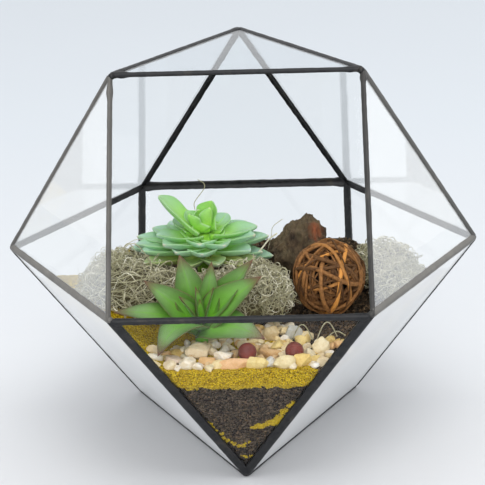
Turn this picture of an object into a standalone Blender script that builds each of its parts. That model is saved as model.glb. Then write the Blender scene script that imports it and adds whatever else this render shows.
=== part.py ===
"""Geometric glass terrarium: a cuboctahedron of leaded glass panes that stands on one of its triangles.

Its front square has no pane and is the planting mouth. Inside lie soil, a layer of yellow sand, gravel,
two red beads, moss, an echeveria, a smaller pointed succulent, a piece of bark and a ball of vine.
Metres, +Z up, +X to the right of the mouth, -Y out of the mouth. The base seams rest on z = 0.
"""
import math
import random

import bmesh
import bpy
from mathutils import Matrix, Vector, noise

# The glass jar
EDGE = 0.120  # every edge of the cuboctahedron
GLASS = 0.0016  # thickness of a pane
CLEAR = 0.0003  # between neighbouring pieces
WALL = 0.0003  # foil and solder on each face of a pane
STRIP = 0.0019  # width of a solder strip, from the edge across a pane
WIDE_STRIP = 0.0032  # the same on the two seams that meet at the front foot
SLOT = 0.0010  # how far from the edge a seam's slot begins
LIP = 0.0005  # solder beyond the glass round the open mouth
BEVEL = 0.0003  # softened arris of a strip

SLOT_HALF = GLASS / 2 + CLEAR
SEAM_HALF = SLOT_HALF + WALL
TRIANGLE_RADIUS = EDGE / math.sqrt(3)
JAR_HEIGHT = EDGE * math.sqrt(8 / 3)

# The planting
LEVEL = 0.0672  # top of the sand behind the front pane
SLOPE = 0.032  # gentle rise of the fill from front to back
BANK = 0.016  # further rise of the fill against both sides
MOUND = 0.011  # height of the heap that the echeveria stands on
MOUND_SPREAD = 0.024
SAND_DEPTH = 0.010
FILL_CELL = 0.013
FRONT_Y = -0.092  # where the fill meets the front pane

BEAD_RADIUS = 0.0045
BEADS = {"bead_left": (0.0024, -0.080), "bead_right": (0.0248, -0.080)}

ROSETTE_AT = Vector((-0.020, 0.0, 0.0950))  # lowest leaf bases of the echeveria
ROSETTE_LEAVES = 32
ROSETTE_STEM = 0.0040
GOLDEN_ANGLE = math.pi * (3 - math.sqrt(5))

POINTED_AT = Vector((-0.0200, -0.0590, 0.0745))  # heart of the pointed succulent
POINTED_STEM = 0.0032

BALL_AT = (0.0437, -0.026)
BALL_RADIUS = 0.0203
VINE = 0.0011  # radius of a vine
VINE_RINGS = 10

BARK_AT = Vector((0.030, 0.014, 0.0885))
BARK_SIZE = Vector((0.0175, 0.0105, 0.0175))

MOSS_STRAND = 0.0007  # radius of a moss strand

COLOURS = {
    "glass": ((0.86, 0.92, 0.93), 0.02, 0.0),
    "solder": ((0.045, 0.042, 0.040), 0.42, 0.85),
    "soil": ((0.060, 0.050, 0.042), 0.95, 0.0),
    "sand": ((0.400, 0.290, 0.040), 0.90, 0.0),
    "gravel": ((0.600, 0.470, 0.280), 0.70, 0.0),
    "bead": ((0.300, 0.095, 0.065), 0.45, 0.0),
    "echeveria": ((0.300, 0.520, 0.230), 0.50, 0.0),
    "pointed_leaf": ((0.180, 0.330, 0.080), 0.42, 0.0),
    "moss": ((0.300, 0.270, 0.180), 0.95, 0.0),
    "vine": ((0.280, 0.140, 0.050), 0.75, 0.0),
    "bark": ((0.085, 0.060, 0.045), 0.95, 0.0),
}


# ---------------------------------------------------------------- the jar's geometry

def ring_corner(radius, degrees, z):
    angle = math.radians(degrees)
    return Vector((radius * math.cos(angle), radius * math.sin(angle), z + SEAM_HALF))


WAIST = JAR_HEIGHT / 2
CORNERS = {
    "base_front": ring_corner(TRIANGLE_RADIUS, -90, 0),
    "base_right": ring_corner(TRIANGLE_RADIUS, 30, 0),
    "base_left": ring_corner(TRIANGLE_RADIUS, 150, 0),
    "front_right": ring_corner(EDGE, -60, WAIST),
    "right": ring_corner(EDGE, 0, WAIST),
    "back_right": ring_corner(EDGE, 60, WAIST),
    "back_left": ring_corner(EDGE, 120, WAIST),
    "left": ring_corner(EDGE, 180, WAIST),
    "front_left": ring_corner(EDGE, 240, WAIST),
    "top_back": ring_corner(TRIANGLE_RADIUS, 90, JAR_HEIGHT),
    "top_right": ring_corner(TRIANGLE_RADIUS, -30, JAR_HEIGHT),
    "top_left": ring_corner(TRIANGLE_RADIUS, 210, JAR_HEIGHT),
}
CENTRE = Vector((0, 0, WAIST + SEAM_HALF))

PANES = {
    "pane_base": ("base_front", "base_right", "base_left"),
    "pane_low_front": ("front_left", "front_right", "base_front"),
    "pane_low_left": ("front_left", "left", "base_left", "base_front"),
    "pane_low_right": ("front_right", "right", "base_right", "base_front"),
    "pane_low_back": ("back_left", "back_right", "base_right", "base_left"),
    "pane_rear_left": ("left", "back_left", "base_left"),
    "pane_rear_right": ("right", "back_right", "base_right"),
    "pane_side_left": ("top_left", "left", "front_left"),
    "pane_side_right": ("top_right", "right", "front_right"),
    "pane_high_left": ("top_back", "top_left", "left", "back_left"),
    "pane_high_right": ("top_back", "top_right", "right", "back_right"),
    "pane_high_back": ("top_back", "back_left", "back_right"),
    "pane_top": ("top_back", "top_left", "top_right"),
}
MOUTH = ("top_left", "top_right", "front_right", "front_left")

SEAMS = {
    "seam_mouth_top": ("top_left", "top_right"),
    "seam_mouth_left": ("top_left", "front_left"),
    "seam_mouth_right": ("top_right", "front_right"),
    "seam_mouth_sill": ("front_left", "front_right"),
    "seam_top_left": ("top_left", "top_back"),
    "seam_top_right": ("top_right", "top_back"),
    "seam_shoulder_left": ("top_left", "left"),
    "seam_shoulder_right": ("top_right", "right"),
    "seam_back_left": ("top_back", "back_left"),
    "seam_back_right": ("top_back", "back_right"),
    "seam_back_waist": ("back_left", "back_right"),
    "seam_rear_waist_left": ("left", "back_left"),
    "seam_rear_waist_right": ("right", "back_right"),
    "seam_front_waist_left": ("front_left", "left"),
    "seam_front_waist_right": ("front_right", "right"),
    "seam_front_foot_left": ("front_left", "base_front"),
    "seam_front_foot_right": ("front_right", "base_front"),
    "seam_side_foot_left": ("left", "base_left"),
    "seam_side_foot_right": ("right", "base_right"),
    "seam_back_foot_left": ("back_left", "base_left"),
    "seam_back_foot_right": ("back_right", "base_right"),
    "seam_base_left": ("base_front", "base_left"),
    "seam_base_right": ("base_front", "base_right"),
    "seam_base_back": ("base_left", "base_right"),
}
WIDE_SEAMS = ("seam_front_foot_left", "seam_front_foot_right")


def face_middle(names):
    return sum((CORNERS[name] for name in names), Vector()) / len(names)


def face_normal(names):
    """Outward normal of a face."""
    return (face_middle(names) - CENTRE).normalized()


def faces_at(edge):
    """The panes that an edge joins, and the mouth if the edge borders it."""
    faces = [*PANES.values(), MOUTH]
    return [names for names in faces if edge[0] in names and edge[1] in names]


def edge_outward(edge):
    """Direction straight out of the jar at an edge, halfway between its two faces."""
    return sum((face_normal(names) for names in faces_at(edge)), Vector()).normalized()


def directions_at(corner):
    """Unit vectors along the four edges that leave a corner."""
    others = [b if a == corner else a for a, b in SEAMS.values() if corner in (a, b)]
    return {other: (CORNERS[other] - CORNERS[corner]).normalized() for other in others}


def strip_width(name):
    return WIDE_STRIP if name in WIDE_SEAMS else STRIP


# ---------------------------------------------------------------- Blender helpers

def clear_scene():
    for obj in list(bpy.data.objects):
        bpy.data.objects.remove(obj, do_unlink=True)


def new_collection(name):
    collection = bpy.data.collections.new(name)
    bpy.context.scene.collection.children.link(collection)
    return collection


def material(name):
    """The shared Principled material of one kind of piece."""
    found = bpy.data.materials.get(name)
    if found:
        return found
    colour, roughness, metallic = COLOURS[name]
    made = bpy.data.materials.new(name)
    made.use_nodes = True
    shader = made.node_tree.nodes["Principled BSDF"]
    shader.inputs["Base Color"].default_value = (*colour, 1)
    shader.inputs["Roughness"].default_value = roughness
    shader.inputs["Metallic"].default_value = metallic
    if name == "glass":
        shader.inputs["Transmission Weight"].default_value = 1.0
    made.diffuse_color = (*colour, 0.3 if name == "glass" else 1)
    return made


def add_object(name, bm, collection, look=None, smooth=False):
    """Turns a bmesh into an object of the collection."""
    bmesh.ops.recalc_face_normals(bm, faces=bm.faces)
    mesh = bpy.data.meshes.new(name)
    bm.to_mesh(mesh)
    bm.free()
    if look:
        mesh.materials.append(material(look))
    if smooth:
        mesh.shade_smooth()
        mesh.set_sharp_from_angle(angle=math.radians(40))
    obj = bpy.data.objects.new(name, mesh)
    collection.objects.link(obj)
    return obj


def cut_by_plane(bm, point, outward):
    """Cuts away what lies beyond a plane and closes the cut."""
    everything = [*bm.verts, *bm.edges, *bm.faces]
    cut = bmesh.ops.bisect_plane(
        bm, geom=everything, dist=1e-7, plane_co=point, plane_no=outward, clear_outer=True
    )
    edges = [item for item in cut["geom_cut"] if isinstance(item, bmesh.types.BMEdge)]
    if edges:
        bmesh.ops.edgenet_fill(bm, edges=edges)


def apply_boolean(obj, operation, other, solver="EXACT"):
    """Applies one Boolean with an object or with all the objects of a collection."""
    modifier = obj.modifiers.new("boolean", "BOOLEAN")
    modifier.operation = operation
    modifier.solver = solver
    if isinstance(other, bpy.types.Collection):
        modifier.operand_type = "COLLECTION"
        modifier.collection = other
    else:
        modifier.object = other
    depsgraph = bpy.context.evaluated_depsgraph_get()
    result = bpy.data.meshes.new_from_object(obj.evaluated_get(depsgraph))
    obj.modifiers.clear()
    obj.data = result


def remove_collection(collection):
    for obj in list(collection.objects):
        bpy.data.objects.remove(obj, do_unlink=True)
    bpy.data.collections.remove(collection)


def keep_outer_body(obj):
    """Drops loose scraps and sealed pockets, and leaves the one outer body."""
    bm = bmesh.new()
    bm.from_mesh(obj.data)
    bmesh.ops.remove_doubles(bm, verts=bm.verts, dist=1e-6)
    seen, bodies = set(), []
    for start in bm.faces:
        if start in seen:
            continue
        seen.add(start)
        body, todo = [], [start]
        while todo:
            face = todo.pop()
            body.append(face)
            for edge in face.edges:
                fresh = [near for near in edge.link_faces if near not in seen]
                seen.update(fresh)
                todo.extend(fresh)
        bodies.append(body)
    largest = max(bodies, key=body_span)
    scraps = [face for body in bodies if body is not largest for face in body]
    bmesh.ops.delete(bm, geom=scraps, context="FACES")
    bm.to_mesh(obj.data)
    bm.free()


def body_span(faces):
    """Size of the box round some faces."""
    points = [vert.co for face in faces for vert in face.verts]
    return sum(max(p[i] for p in points) - min(p[i] for p in points) for i in range(3))


def fuse(name, core, pieces, collection, look, smooth=False, solver="EXACT"):
    """Joins a core and a collection of pieces that grow from it into one body."""
    obj = add_object(name, core, collection, look, smooth)
    apply_boolean(obj, "UNION", pieces, solver)
    remove_collection(pieces)
    keep_outer_body(obj)
    return obj


# ---------------------------------------------------------------- panes and seams

def make_pane(name, corners, collection):
    """A flat plate, set back from its edges by the depth that the seams' slots leave."""
    middle, normal = face_middle(corners), face_normal(corners)
    bm = bmesh.new()
    bmesh.ops.create_cube(bm, size=4 * EDGE)
    for side in (1, -1):
        cut_by_plane(bm, middle + normal * side * GLASS / 2, normal * side)
    count = len(corners)
    for i in range(count):
        a, b = CORNERS[corners[i]], CORNERS[corners[(i + 1) % count]]
        outward = (b - a).cross(normal).normalized()
        if outward.dot(a - middle) < 0:
            outward.negate()
        cut_by_plane(bm, a - outward * (SLOT + CLEAR), outward)
    add_object(name, bm, collection, "glass")


def half_section(width):
    """One strip's outline from the outer arris to the inner bead: (into the pane, outward)."""
    return [
        (-SEAM_HALF * 0.3, SEAM_HALF),
        (width - BEVEL, SEAM_HALF),
        (width, SEAM_HALF - BEVEL),
        (width, SLOT_HALF),
        (SLOT, SLOT_HALF),
        (SLOT, -SLOT_HALF),
        (width, -SLOT_HALF),
        (width, BEVEL - SEAM_HALF),
        (width - BEVEL, -SEAM_HALF),
        (SEAM_HALF, -SEAM_HALF),
    ]


def rim_section(width):
    """The whole outline of a mouth seam, which holds one pane: (into the pane, outward)."""
    strip = half_section(width)[1:-1]
    outer = [(-LIP, SEAM_HALF / 2), (-LIP / 2, SEAM_HALF)]
    return outer + strip + [(t, -n) for t, n in reversed(outer)]


def seam_outline(edge, width):
    """The section of a seam as points round the edge's middle."""
    start, end = CORNERS[edge[0]], CORNERS[edge[1]]
    middle = (start + end) / 2
    panes = [names for names in faces_at(edge) if names != MOUTH]
    outlines = []
    for names in panes:
        normal = face_normal(names)
        inward = face_middle(names) - middle
        inward = (inward - normal * inward.dot(normal)).normalized()
        section = half_section(width) if len(panes) == 2 else rim_section(width)
        outlines.append([middle + inward * t + normal * n for t, n in section])
    if len(outlines) == 1:
        return outlines[0]
    return outlines[0] + outlines[1][::-1]


def make_seam(name, edge, collection):
    """A straight soldered seam, mitred at each end against the three others that meet there."""
    along = CORNERS[edge[1]] - CORNERS[edge[0]]
    reach = along * 0.56
    bm = bmesh.new()
    verts = [bm.verts.new(point - reach) for point in seam_outline(edge, strip_width(name))]
    face = bm.faces.new(verts)
    swept = bmesh.ops.extrude_face_region(bm, geom=[face])
    moved = [item for item in swept["geom"] if isinstance(item, bmesh.types.BMVert)]
    bmesh.ops.translate(bm, verts=moved, vec=reach * 2)
    bmesh.ops.recalc_face_normals(bm, faces=bm.faces)
    for corner, other in (edge, edge[::-1]):
        directions = directions_at(corner)
        for neighbour, direction in directions.items():
            if neighbour != other:
                outward = (direction - directions[other]).normalized()
                cut_by_plane(bm, CORNERS[corner] - outward * CLEAR / 2, outward)
    add_object(name, bm, collection, "solder")


# ---------------------------------------------------------------- the fill

def smooth_step(x):
    x = min(max(x, 0), 1)
    return x * x * (3 - 2 * x)


def sand_top(x, y):
    """Height of the sand: banked up against both front sides, with a heap under the echeveria."""
    bank = smooth_step((-x - 0.036) / 0.030) + smooth_step((x - 0.062) / 0.025)
    bank *= 1 - smooth_step((y + 0.010) / 0.040)
    away = (Vector((x, y)) - ROSETTE_AT.xy).length / MOUND_SPREAD
    return LEVEL + SLOPE * (y - FRONT_Y) + BANK * bank + MOUND * math.exp(-away * away)


def soil_top(x, y):
    """Height of the soil: an uneven surface one layer of sand lower."""
    wave = noise.noise(Vector((x, y, 0)) * 60)
    return sand_top(x, y) - SAND_DEPTH + 0.0018 * wave


def layer(top, bottom):
    """A block between two height functions, wider than the jar."""
    bm = bmesh.new()
    half_x, half_y = EDGE * 1.05, EDGE * 0.95
    cells = (round(2 * half_x / FILL_CELL), round(2 * half_y / FILL_CELL))
    bmesh.ops.create_grid(bm, x_segments=cells[0], y_segments=cells[1], size=1)
    for vert in bm.verts:
        vert.co = Vector((vert.co.x * half_x, vert.co.y * half_y, 0))
    swept = bmesh.ops.extrude_face_region(bm, geom=bm.faces[:])
    upper = {item for item in swept["geom"] if isinstance(item, bmesh.types.BMVert)}
    for vert in bm.verts:
        height = top if vert in upper else bottom
        vert.co.z = height(vert.co.x, vert.co.y)
    bmesh.ops.triangulate(bm, faces=bm.faces)
    return bm


def jar_inside(cutters):
    """The jar's inner space, clear of every pane and of every seam's inner side."""
    bm = bmesh.new()
    bmesh.ops.create_cube(bm, size=5 * EDGE)
    for names in [*PANES.values(), MOUTH]:
        normal = face_normal(names)
        cut_by_plane(bm, face_middle(names) - normal * SLOT_HALF, normal)
    for name, edge in SEAMS.items():
        outward = edge_outward(edge)
        lean = face_normal(faces_at(edge)[0]).dot(outward)
        depth = strip_width(name) * math.sqrt(1 - lean**2) + SEAM_HALF * lean + CLEAR
        cut_by_plane(bm, CORNERS[edge[0]] - outward * depth, outward)
    return add_cutter("jar_inside", bm, cutters)


def add_cutter(name, bm, cutters):
    obj = add_object(name, bm, cutters)
    obj.hide_render = True
    obj.display_type = "WIRE"
    return obj


def ground_block(cutters):
    """All that lies below the sand's surface, with its clearance."""
    bm = layer(lambda x, y: sand_top(x, y) + CLEAR, lambda x, y: -EDGE)
    return add_cutter("ground_block", bm, cutters)


def stem_hole(name, at, radius, cutters):
    bm = bmesh.new()
    bmesh.ops.create_cone(
        bm, cap_ends=True, segments=16, radius1=radius, radius2=radius, depth=0.030,
        matrix=Matrix.Translation((at.x, at.y, sand_top(at.x, at.y) - 0.002)),
    )
    return add_cutter(name, bm, cutters)


def make_fill(inside, cutters, collection):
    """The soil and the sand. The sand has a plain hole for each plant's stem."""
    bottom = layer(lambda x, y: soil_top(x, y), lambda x, y: -EDGE)
    soil = add_object("soil", bottom, collection, "soil")
    apply_boolean(soil, "INTERSECT", inside)
    keep_outer_body(soil)
    blanket = layer(sand_top, lambda x, y: soil_top(x, y) + CLEAR)
    sand = add_object("sand", blanket, collection, "sand")
    apply_boolean(sand, "INTERSECT", inside)
    holes = (
        stem_hole("echeveria_hole", ROSETTE_AT, ROSETTE_STEM + CLEAR, cutters),
        stem_hole("pointed_hole", POINTED_AT, POINTED_STEM + CLEAR, cutters),
    )
    for hole in holes:
        apply_boolean(sand, "DIFFERENCE", hole)
    keep_outer_body(sand)


# ---------------------------------------------------------------- gravel and beads

def gravel_back(x):
    """How far back the gravel reaches, measured along Y."""
    left = -0.086 + 0.016 * smooth_step((x + 0.038) / 0.012)
    return left + 0.0185 * smooth_step(x / 0.014)


def gravel_bed():
    """A thin bed of the finest chips, under the stones that stand out of it."""
    margin = 0.003
    outline = [(-0.036, -0.0895), (0.036, -0.0895), (0.046, -0.072), (0.050, -0.052 - margin)]
    steps = 12
    for i in range(steps + 1):
        x = 0.045 - 0.080 * i / steps
        outline.append((x, gravel_back(x) - margin))
    bm = bmesh.new()
    low, high = -0.003, 0.0016
    face = bm.faces.new([bm.verts.new((x, y, sand_top(x, y) + low)) for x, y in outline])
    swept = bmesh.ops.extrude_face_region(bm, geom=[face])
    moved = [item for item in swept["geom"] if isinstance(item, bmesh.types.BMVert)]
    bmesh.ops.translate(bm, verts=moved, vec=(0, 0, high - low))
    return bm


def add_stone(at, size, draw, pieces):
    """An angular chip: the hull of a few points on a squashed ball."""
    bm = bmesh.new()
    turn = Matrix.Rotation(draw.uniform(0, math.tau), 3, "Z")
    for i in range(9):
        z = 1 - 2 * (i + 0.5) / 9
        angle = i * GOLDEN_ANGLE + draw.uniform(-0.5, 0.5)
        flat = math.sqrt(1 - z * z)
        point = Vector((flat * math.cos(angle), flat * math.sin(angle), z))
        bm.verts.new(Vector(at) + turn @ Vector(a * b for a, b in zip(point, size)))
    bmesh.ops.convex_hull(bm, input=bm.verts)
    loose = [vert for vert in bm.verts if not vert.link_faces]
    bmesh.ops.delete(bm, geom=loose, context="VERTS")
    add_object("stone", bm, pieces)


def make_gravel(inside, ground, cutters, collection):
    """Stones laid in jittered rows on the sand, one layer deep, clear of the beads and the stem."""
    draw = random.Random(11)
    pieces = new_collection("stones")
    pitch = 0.0075
    for row in range(7):
        y = -0.0880 + row * pitch * 0.87
        for column in range(-6, 9):
            x = (column + 0.5 * (row % 2)) * pitch + draw.uniform(-0.001, 0.001)
            size = [draw.uniform(0.0040, 0.0058), draw.uniform(0.0036, 0.0048), draw.uniform(0.0023, 0.0036)]
            spot = (x, y + draw.uniform(-0.0008, 0.0008))
            if not -0.0405 < x < 0.039 + (y + 0.088) * 0.55 or spot[1] > gravel_back(x):
                continue
            if min(math.dist(spot, POINTED_AT.xy), distance_to_low_leaf(spot)) < 0.0080:
                continue
            add_stone((*spot, sand_top(*spot) + size[2] * 0.72), size, draw, pieces)
    gravel = fuse("gravel", gravel_bed(), pieces, collection, "gravel")
    apply_boolean(gravel, "DIFFERENCE", ground)
    apply_boolean(gravel, "INTERSECT", inside)
    for name, spot in BEADS.items():
        bm = bmesh.new()
        bmesh.ops.create_uvsphere(
            bm, u_segments=12, v_segments=8, radius=BEAD_RADIUS + 0.0006,
            matrix=Matrix.Translation(bead_centre(spot)),
        )
        apply_boolean(gravel, "DIFFERENCE", add_cutter(name + "_socket", bm, cutters))
    keep_outer_body(gravel)


def distance_to_low_leaf(spot):
    """Distance on plan from the outer half of the leaf that droops onto the sand."""
    tip = Vector(POINTED_LEAVES[LOW_LEAF][0]).xy
    middle = (tip + POINTED_AT.xy) / 2
    share = min(max((Vector(spot) - middle).dot(tip - middle) / (tip - middle).length_squared, 0), 1)
    return (Vector(spot) - middle.lerp(tip, share)).length


def bead_centre(spot):
    return Vector((*spot, sand_top(*spot) + CLEAR + BEAD_RADIUS))


def make_bead(name, spot, collection):
    bm = bmesh.new()
    bmesh.ops.create_uvsphere(
        bm, u_segments=14, v_segments=9, radius=BEAD_RADIUS,
        matrix=Matrix.Translation(bead_centre(spot)),
    )
    add_object(name, bm, collection, "bead", smooth=True)


# ---------------------------------------------------------------- leaves

def leaf_width(t, root, broad, point):
    """Share of a leaf's full width at t along it: root at its base, full at broad, 0 at its tip."""
    if t < broad:
        return root + (1 - root) * smooth_step(t / broad)
    return max(1 - ((t - broad) / (1 - broad)) ** point, 0)


def add_leaf(base, tip, face, width, thick, bow, cup, shape, pieces, stations=(0, 0.3, 0.6, 0.82, 0.95)):
    """A fleshy leaf lofted through six-sided sections along an arched midrib.

    face points out of the upper side. bow lifts the middle, and cup lifts the margins, in metres.
    """
    bm = bmesh.new()
    chord = tip - base
    up = (face - chord * face.dot(chord) / chord.length_squared).normalized()
    middle = (base + tip) / 2 + up * bow * 2
    rings = []
    for t in stations:
        spine = base * (1 - t) ** 2 + middle * 2 * t * (1 - t) + tip * t * t
        along = ((middle - base) * (1 - t) + (tip - middle) * t).normalized()
        side = along.cross(up).normalized()
        out = side.cross(along)
        half = width / 2 * leaf_width(t, *shape)
        flesh = thick / 2 * (1 - 0.55 * t)
        lift = cup * half / (width / 2)
        section = (
            (-half, lift), (-half * 0.42, lift * 0.2 + flesh * 0.7), (half * 0.42, lift * 0.2 + flesh * 0.7),
            (half, lift), (half * 0.42, lift * 0.2 - flesh * 1.3), (-half * 0.42, lift * 0.2 - flesh * 1.3),
        )
        rings.append([bm.verts.new(spine + side * s + out * n) for s, n in section])
    count = len(rings[0])
    for near, far in zip(rings, rings[1:]):
        for i in range(count):
            j = (i + 1) % count
            bm.faces.new((near[i], near[j], far[j], far[i]))
    point = bm.verts.new(tip)
    for i in range(count):
        bm.faces.new((rings[-1][i], rings[-1][(i + 1) % count], point))
    bm.faces.new(rings[0])
    add_object("leaf", bm, pieces)


def stem(at, radius, top, depth):
    """A round stem from below the sand's surface up to the leaf bases."""
    bottom = sand_top(at.x, at.y) - depth
    bm = bmesh.new()
    bmesh.ops.create_cone(
        bm, cap_ends=True, segments=12, radius1=radius, radius2=radius, depth=top - bottom,
        matrix=Matrix.Translation((at.x, at.y, (top + bottom) / 2)),
    )
    return bm


SPOON = (0.40, 0.66, 2.9)  # leaf outline of the echeveria: root, broad, point
BLADE = (0.86, 0.32, 1.7)  # leaf outline of the pointed succulent


def rosette_leaf(index):
    """Place of one echeveria leaf, counted from the heart outwards: base, tip, face, width."""
    age = index / (ROSETTE_LEAVES - 1)
    turn = index * GOLDEN_ANGLE + 0.6
    rise = math.radians(66 * math.exp(-((age / 0.14) ** 1.5)) + 17 * (1 - age))
    length = 0.014 + 0.0235 * math.sqrt(age)
    outward = Vector((math.cos(turn), math.sin(turn), 0))
    direction = outward * math.cos(rise) + Vector((0, 0, math.sin(rise)))
    face = Vector((0, 0, math.cos(rise))) - outward * math.sin(rise)
    base = ROSETTE_AT + outward * 0.0022 + Vector((0, 0, 0.011 * (1 - age)))
    width = 0.0090 + 0.0088 * math.sqrt(age)
    return base, base + direction * length, face, width


def make_echeveria(collection):
    """The large rosette: spoon-shaped leaves in a golden-angle spiral, and one that stands up to the left."""
    pieces = new_collection("echeveria_leaves")
    for index in range(ROSETTE_LEAVES):
        base, tip, face, width = rosette_leaf(index)
        add_leaf(base, tip, face, width, 0.0032, -0.0018, 0.0022, SPOON, pieces)
    tall_base = ROSETTE_AT + Vector((-0.003, 0.001, 0.0100))
    tall_tip = Vector((-0.043, 0.003, 0.126))
    add_leaf(tall_base, tall_tip, Vector((0.5, -0.5, 0.8)), 0.0165, 0.0034, -0.001, 0.0026, SPOON, pieces)
    core = stem(ROSETTE_AT, ROSETTE_STEM, ROSETTE_AT.z + 0.010, SAND_DEPTH * 0.8)
    return fuse("echeveria", core, pieces, collection, "echeveria")


POINTED_LEAVES = (  # tip, direction of the upper face, width, lift of the middle
    ((-0.062, -0.066, 0.089), (0.1, -0.3, 1.0), 0.013, 0.004),
    ((-0.040, -0.085, 0.073), (-0.4, 0.2, 1.0), 0.017, 0.007),
    ((0.011, -0.077, 0.079), (0.3, -0.1, 1.0), 0.016, 0.006),
    ((-0.046, -0.060, 0.101), (0.5, -0.6, 0.6), 0.013, 0.001),
    ((-0.030, -0.049, 0.112), (0.2, -1.0, 0.4), 0.015, -0.001),
    ((-0.014, -0.057, 0.110), (0.0, -1.0, 0.3), 0.010, -0.001),
    ((0.005, -0.055, 0.107), (-0.6, -0.7, 0.5), 0.012, -0.001),
    ((0.010, -0.063, 0.103), (-0.5, -0.8, 0.7), 0.014, 0.001),
    ((-0.030, -0.069, 0.097), (0.6, -0.4, 0.6), 0.006, 0.0),
    ((-0.021, -0.064, 0.100), (0.0, -1.0, 0.2), 0.005, 0.0),
    ((-0.013, -0.065, 0.098), (-0.5, -0.8, 0.4), 0.006, 0.0),
)


LOW_LEAF = 1  # the one that droops onto the sand


def make_pointed_succulent(collection):
    """The small succulent behind the front pane, with pointed leaves that spread from its heart."""
    pieces = new_collection("pointed_leaves")
    for tip, face, width, lift in POINTED_LEAVES:
        tip = Vector(tip)
        outward = (tip - POINTED_AT).normalized()
        base = POINTED_AT + outward * 0.001
        add_leaf(base, tip, Vector(face), width, 0.0024, lift, width * 0.17, BLADE, pieces)
    core = stem(POINTED_AT, POINTED_STEM, POINTED_AT.z + 0.003, SAND_DEPTH * 0.8)
    return fuse("pointed_succulent", core, pieces, collection, "pointed_leaf", solver="MANIFOLD")


# ---------------------------------------------------------------- vine ball, bark and moss

def strand_section(radius):
    """A three-sided section for thin strands, as a guide curve."""
    curve = bpy.data.curves.new("strand_section", "CURVE")
    spline = curve.splines.new("POLY")
    spline.points.add(2)
    for i, point in enumerate(spline.points):
        angle = math.tau * i / 3
        point.co = (radius * math.cos(angle), radius * math.sin(angle), 0, 1)
    spline.use_cyclic_u = True
    return bpy.data.objects.new("strand_section", curve)


def add_strand(points, radius, cyclic, pieces):
    """A thin strand along a smooth route, as a closed mesh."""
    section = strand_section(radius)
    curve = bpy.data.curves.new("strand", "CURVE")
    curve.dimensions = "3D"
    curve.bevel_mode = "OBJECT"
    curve.bevel_object = section
    curve.use_fill_caps = not cyclic
    spline = curve.splines.new("POLY")
    spline.points.add(len(points) - 1)
    for i, point in enumerate(points):
        spline.points[i].co = (*point, 1)
    spline.use_cyclic_u = cyclic
    route = bpy.data.objects.new("strand", curve)
    pieces.objects.link(route)
    depsgraph = bpy.context.evaluated_depsgraph_get()
    mesh = bpy.data.meshes.new_from_object(route.evaluated_get(depsgraph))
    bm = bmesh.new()
    bm.from_mesh(mesh)
    bmesh.ops.remove_doubles(bm, verts=bm.verts, dist=1e-6)
    bpy.data.objects.remove(route, do_unlink=True)
    bpy.data.objects.remove(section, do_unlink=True)
    add_object("strand", bm, pieces)


def ball_centre():
    return Vector((*BALL_AT, sand_top(*BALL_AT) + CLEAR + BALL_RADIUS))


def make_vine_ball(collection):
    """Vines wound round a dark heart of finer vine, which dip into it as they go round."""
    draw = random.Random(4)
    pieces = new_collection("vines")
    centre = ball_centre()
    points = 13
    for ring in range(VINE_RINGS):
        axis = Vector((draw.gauss(0, 1), draw.gauss(0, 1), draw.gauss(0, 0.8))).normalized()
        first = axis.orthogonal().normalized()
        second = axis.cross(first)
        phase = draw.uniform(0, math.tau)
        offset = axis * draw.uniform(-0.35, 0.35) * BALL_RADIUS
        reach = math.sqrt((BALL_RADIUS - VINE) ** 2 - offset.length_squared)
        route = []
        for i in range(points):
            angle = math.tau * i / points
            dip = 0.0009 * (1 - math.cos(2 * angle + phase))
            spoke = first * math.cos(angle) + second * math.sin(angle)
            route.append(centre + offset + spoke * (reach - dip))
        add_strand(route, VINE * draw.uniform(0.95, 1.1), True, pieces)
    core = bmesh.new()
    bmesh.ops.create_icosphere(
        core, subdivisions=1, radius=BALL_RADIUS - 2.0 * VINE, matrix=Matrix.Translation(centre)
    )
    ball = fuse("vine_ball", core, pieces, collection, "vine", solver="MANIFOLD")
    gap = min(vert.co.z - sand_top(vert.co.x, vert.co.y) for vert in ball.data.vertices)
    ball.data.transform(Matrix.Translation((0, 0, CLEAR - gap)))


def make_bark(ground, inside, collection):
    """A rough chunk of bark that stands on the fill behind the vine ball."""
    bm = bmesh.new()
    bmesh.ops.create_icosphere(bm, subdivisions=3, radius=1)
    for vert in bm.verts:
        rough = 1 + 0.22 * noise.noise(vert.co * 1.7) + 0.16 * noise.noise(vert.co * 4.3)
        point = Vector(a * b for a, b in zip(vert.co * rough, BARK_SIZE))
        point.x += 0.25 * point.z
        vert.co = BARK_AT + Matrix.Rotation(math.radians(-24), 3, "Y") @ point
    bark = add_object("bark", bm, collection, "bark")
    apply_boolean(bark, "DIFFERENCE", ground)
    apply_boolean(bark, "INTERSECT", inside)
    keep_outer_body(bark)


def rosette_clearance(cutters):
    """A turned lens round the echeveria, which the moss stays out of."""
    profile = (
        (0.0, -0.034), (0.0065, -0.034), (0.0065, -0.006), (0.030, -0.0055),
        (0.0395, 0.0005), (0.0395, 0.014), (0.026, 0.030), (0.0, 0.040),
    )
    bm = bmesh.new()
    verts = [bm.verts.new((r, 0, z)) for r, z in profile]
    edges = [bm.edges.new(pair) for pair in zip(verts, verts[1:])]
    bmesh.ops.spin(
        bm, geom=[*verts, *edges], cent=(0, 0, 0), axis=(0, 0, 1), angle=math.tau, steps=24, use_merge=True
    )
    bmesh.ops.remove_doubles(bm, verts=bm.verts, dist=1e-6)
    bmesh.ops.translate(bm, verts=bm.verts, vec=ROSETTE_AT)
    return add_cutter("rosette_clearance", bm, cutters)


def ball_clearance(cutters):
    bm = bmesh.new()
    bmesh.ops.create_uvsphere(
        bm, u_segments=24, v_segments=16, radius=BALL_RADIUS + 0.0009,
        matrix=Matrix.Translation(ball_centre() - Vector((0, 0, 0.001))),
    )
    return add_cutter("ball_clearance", bm, cutters)


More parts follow.
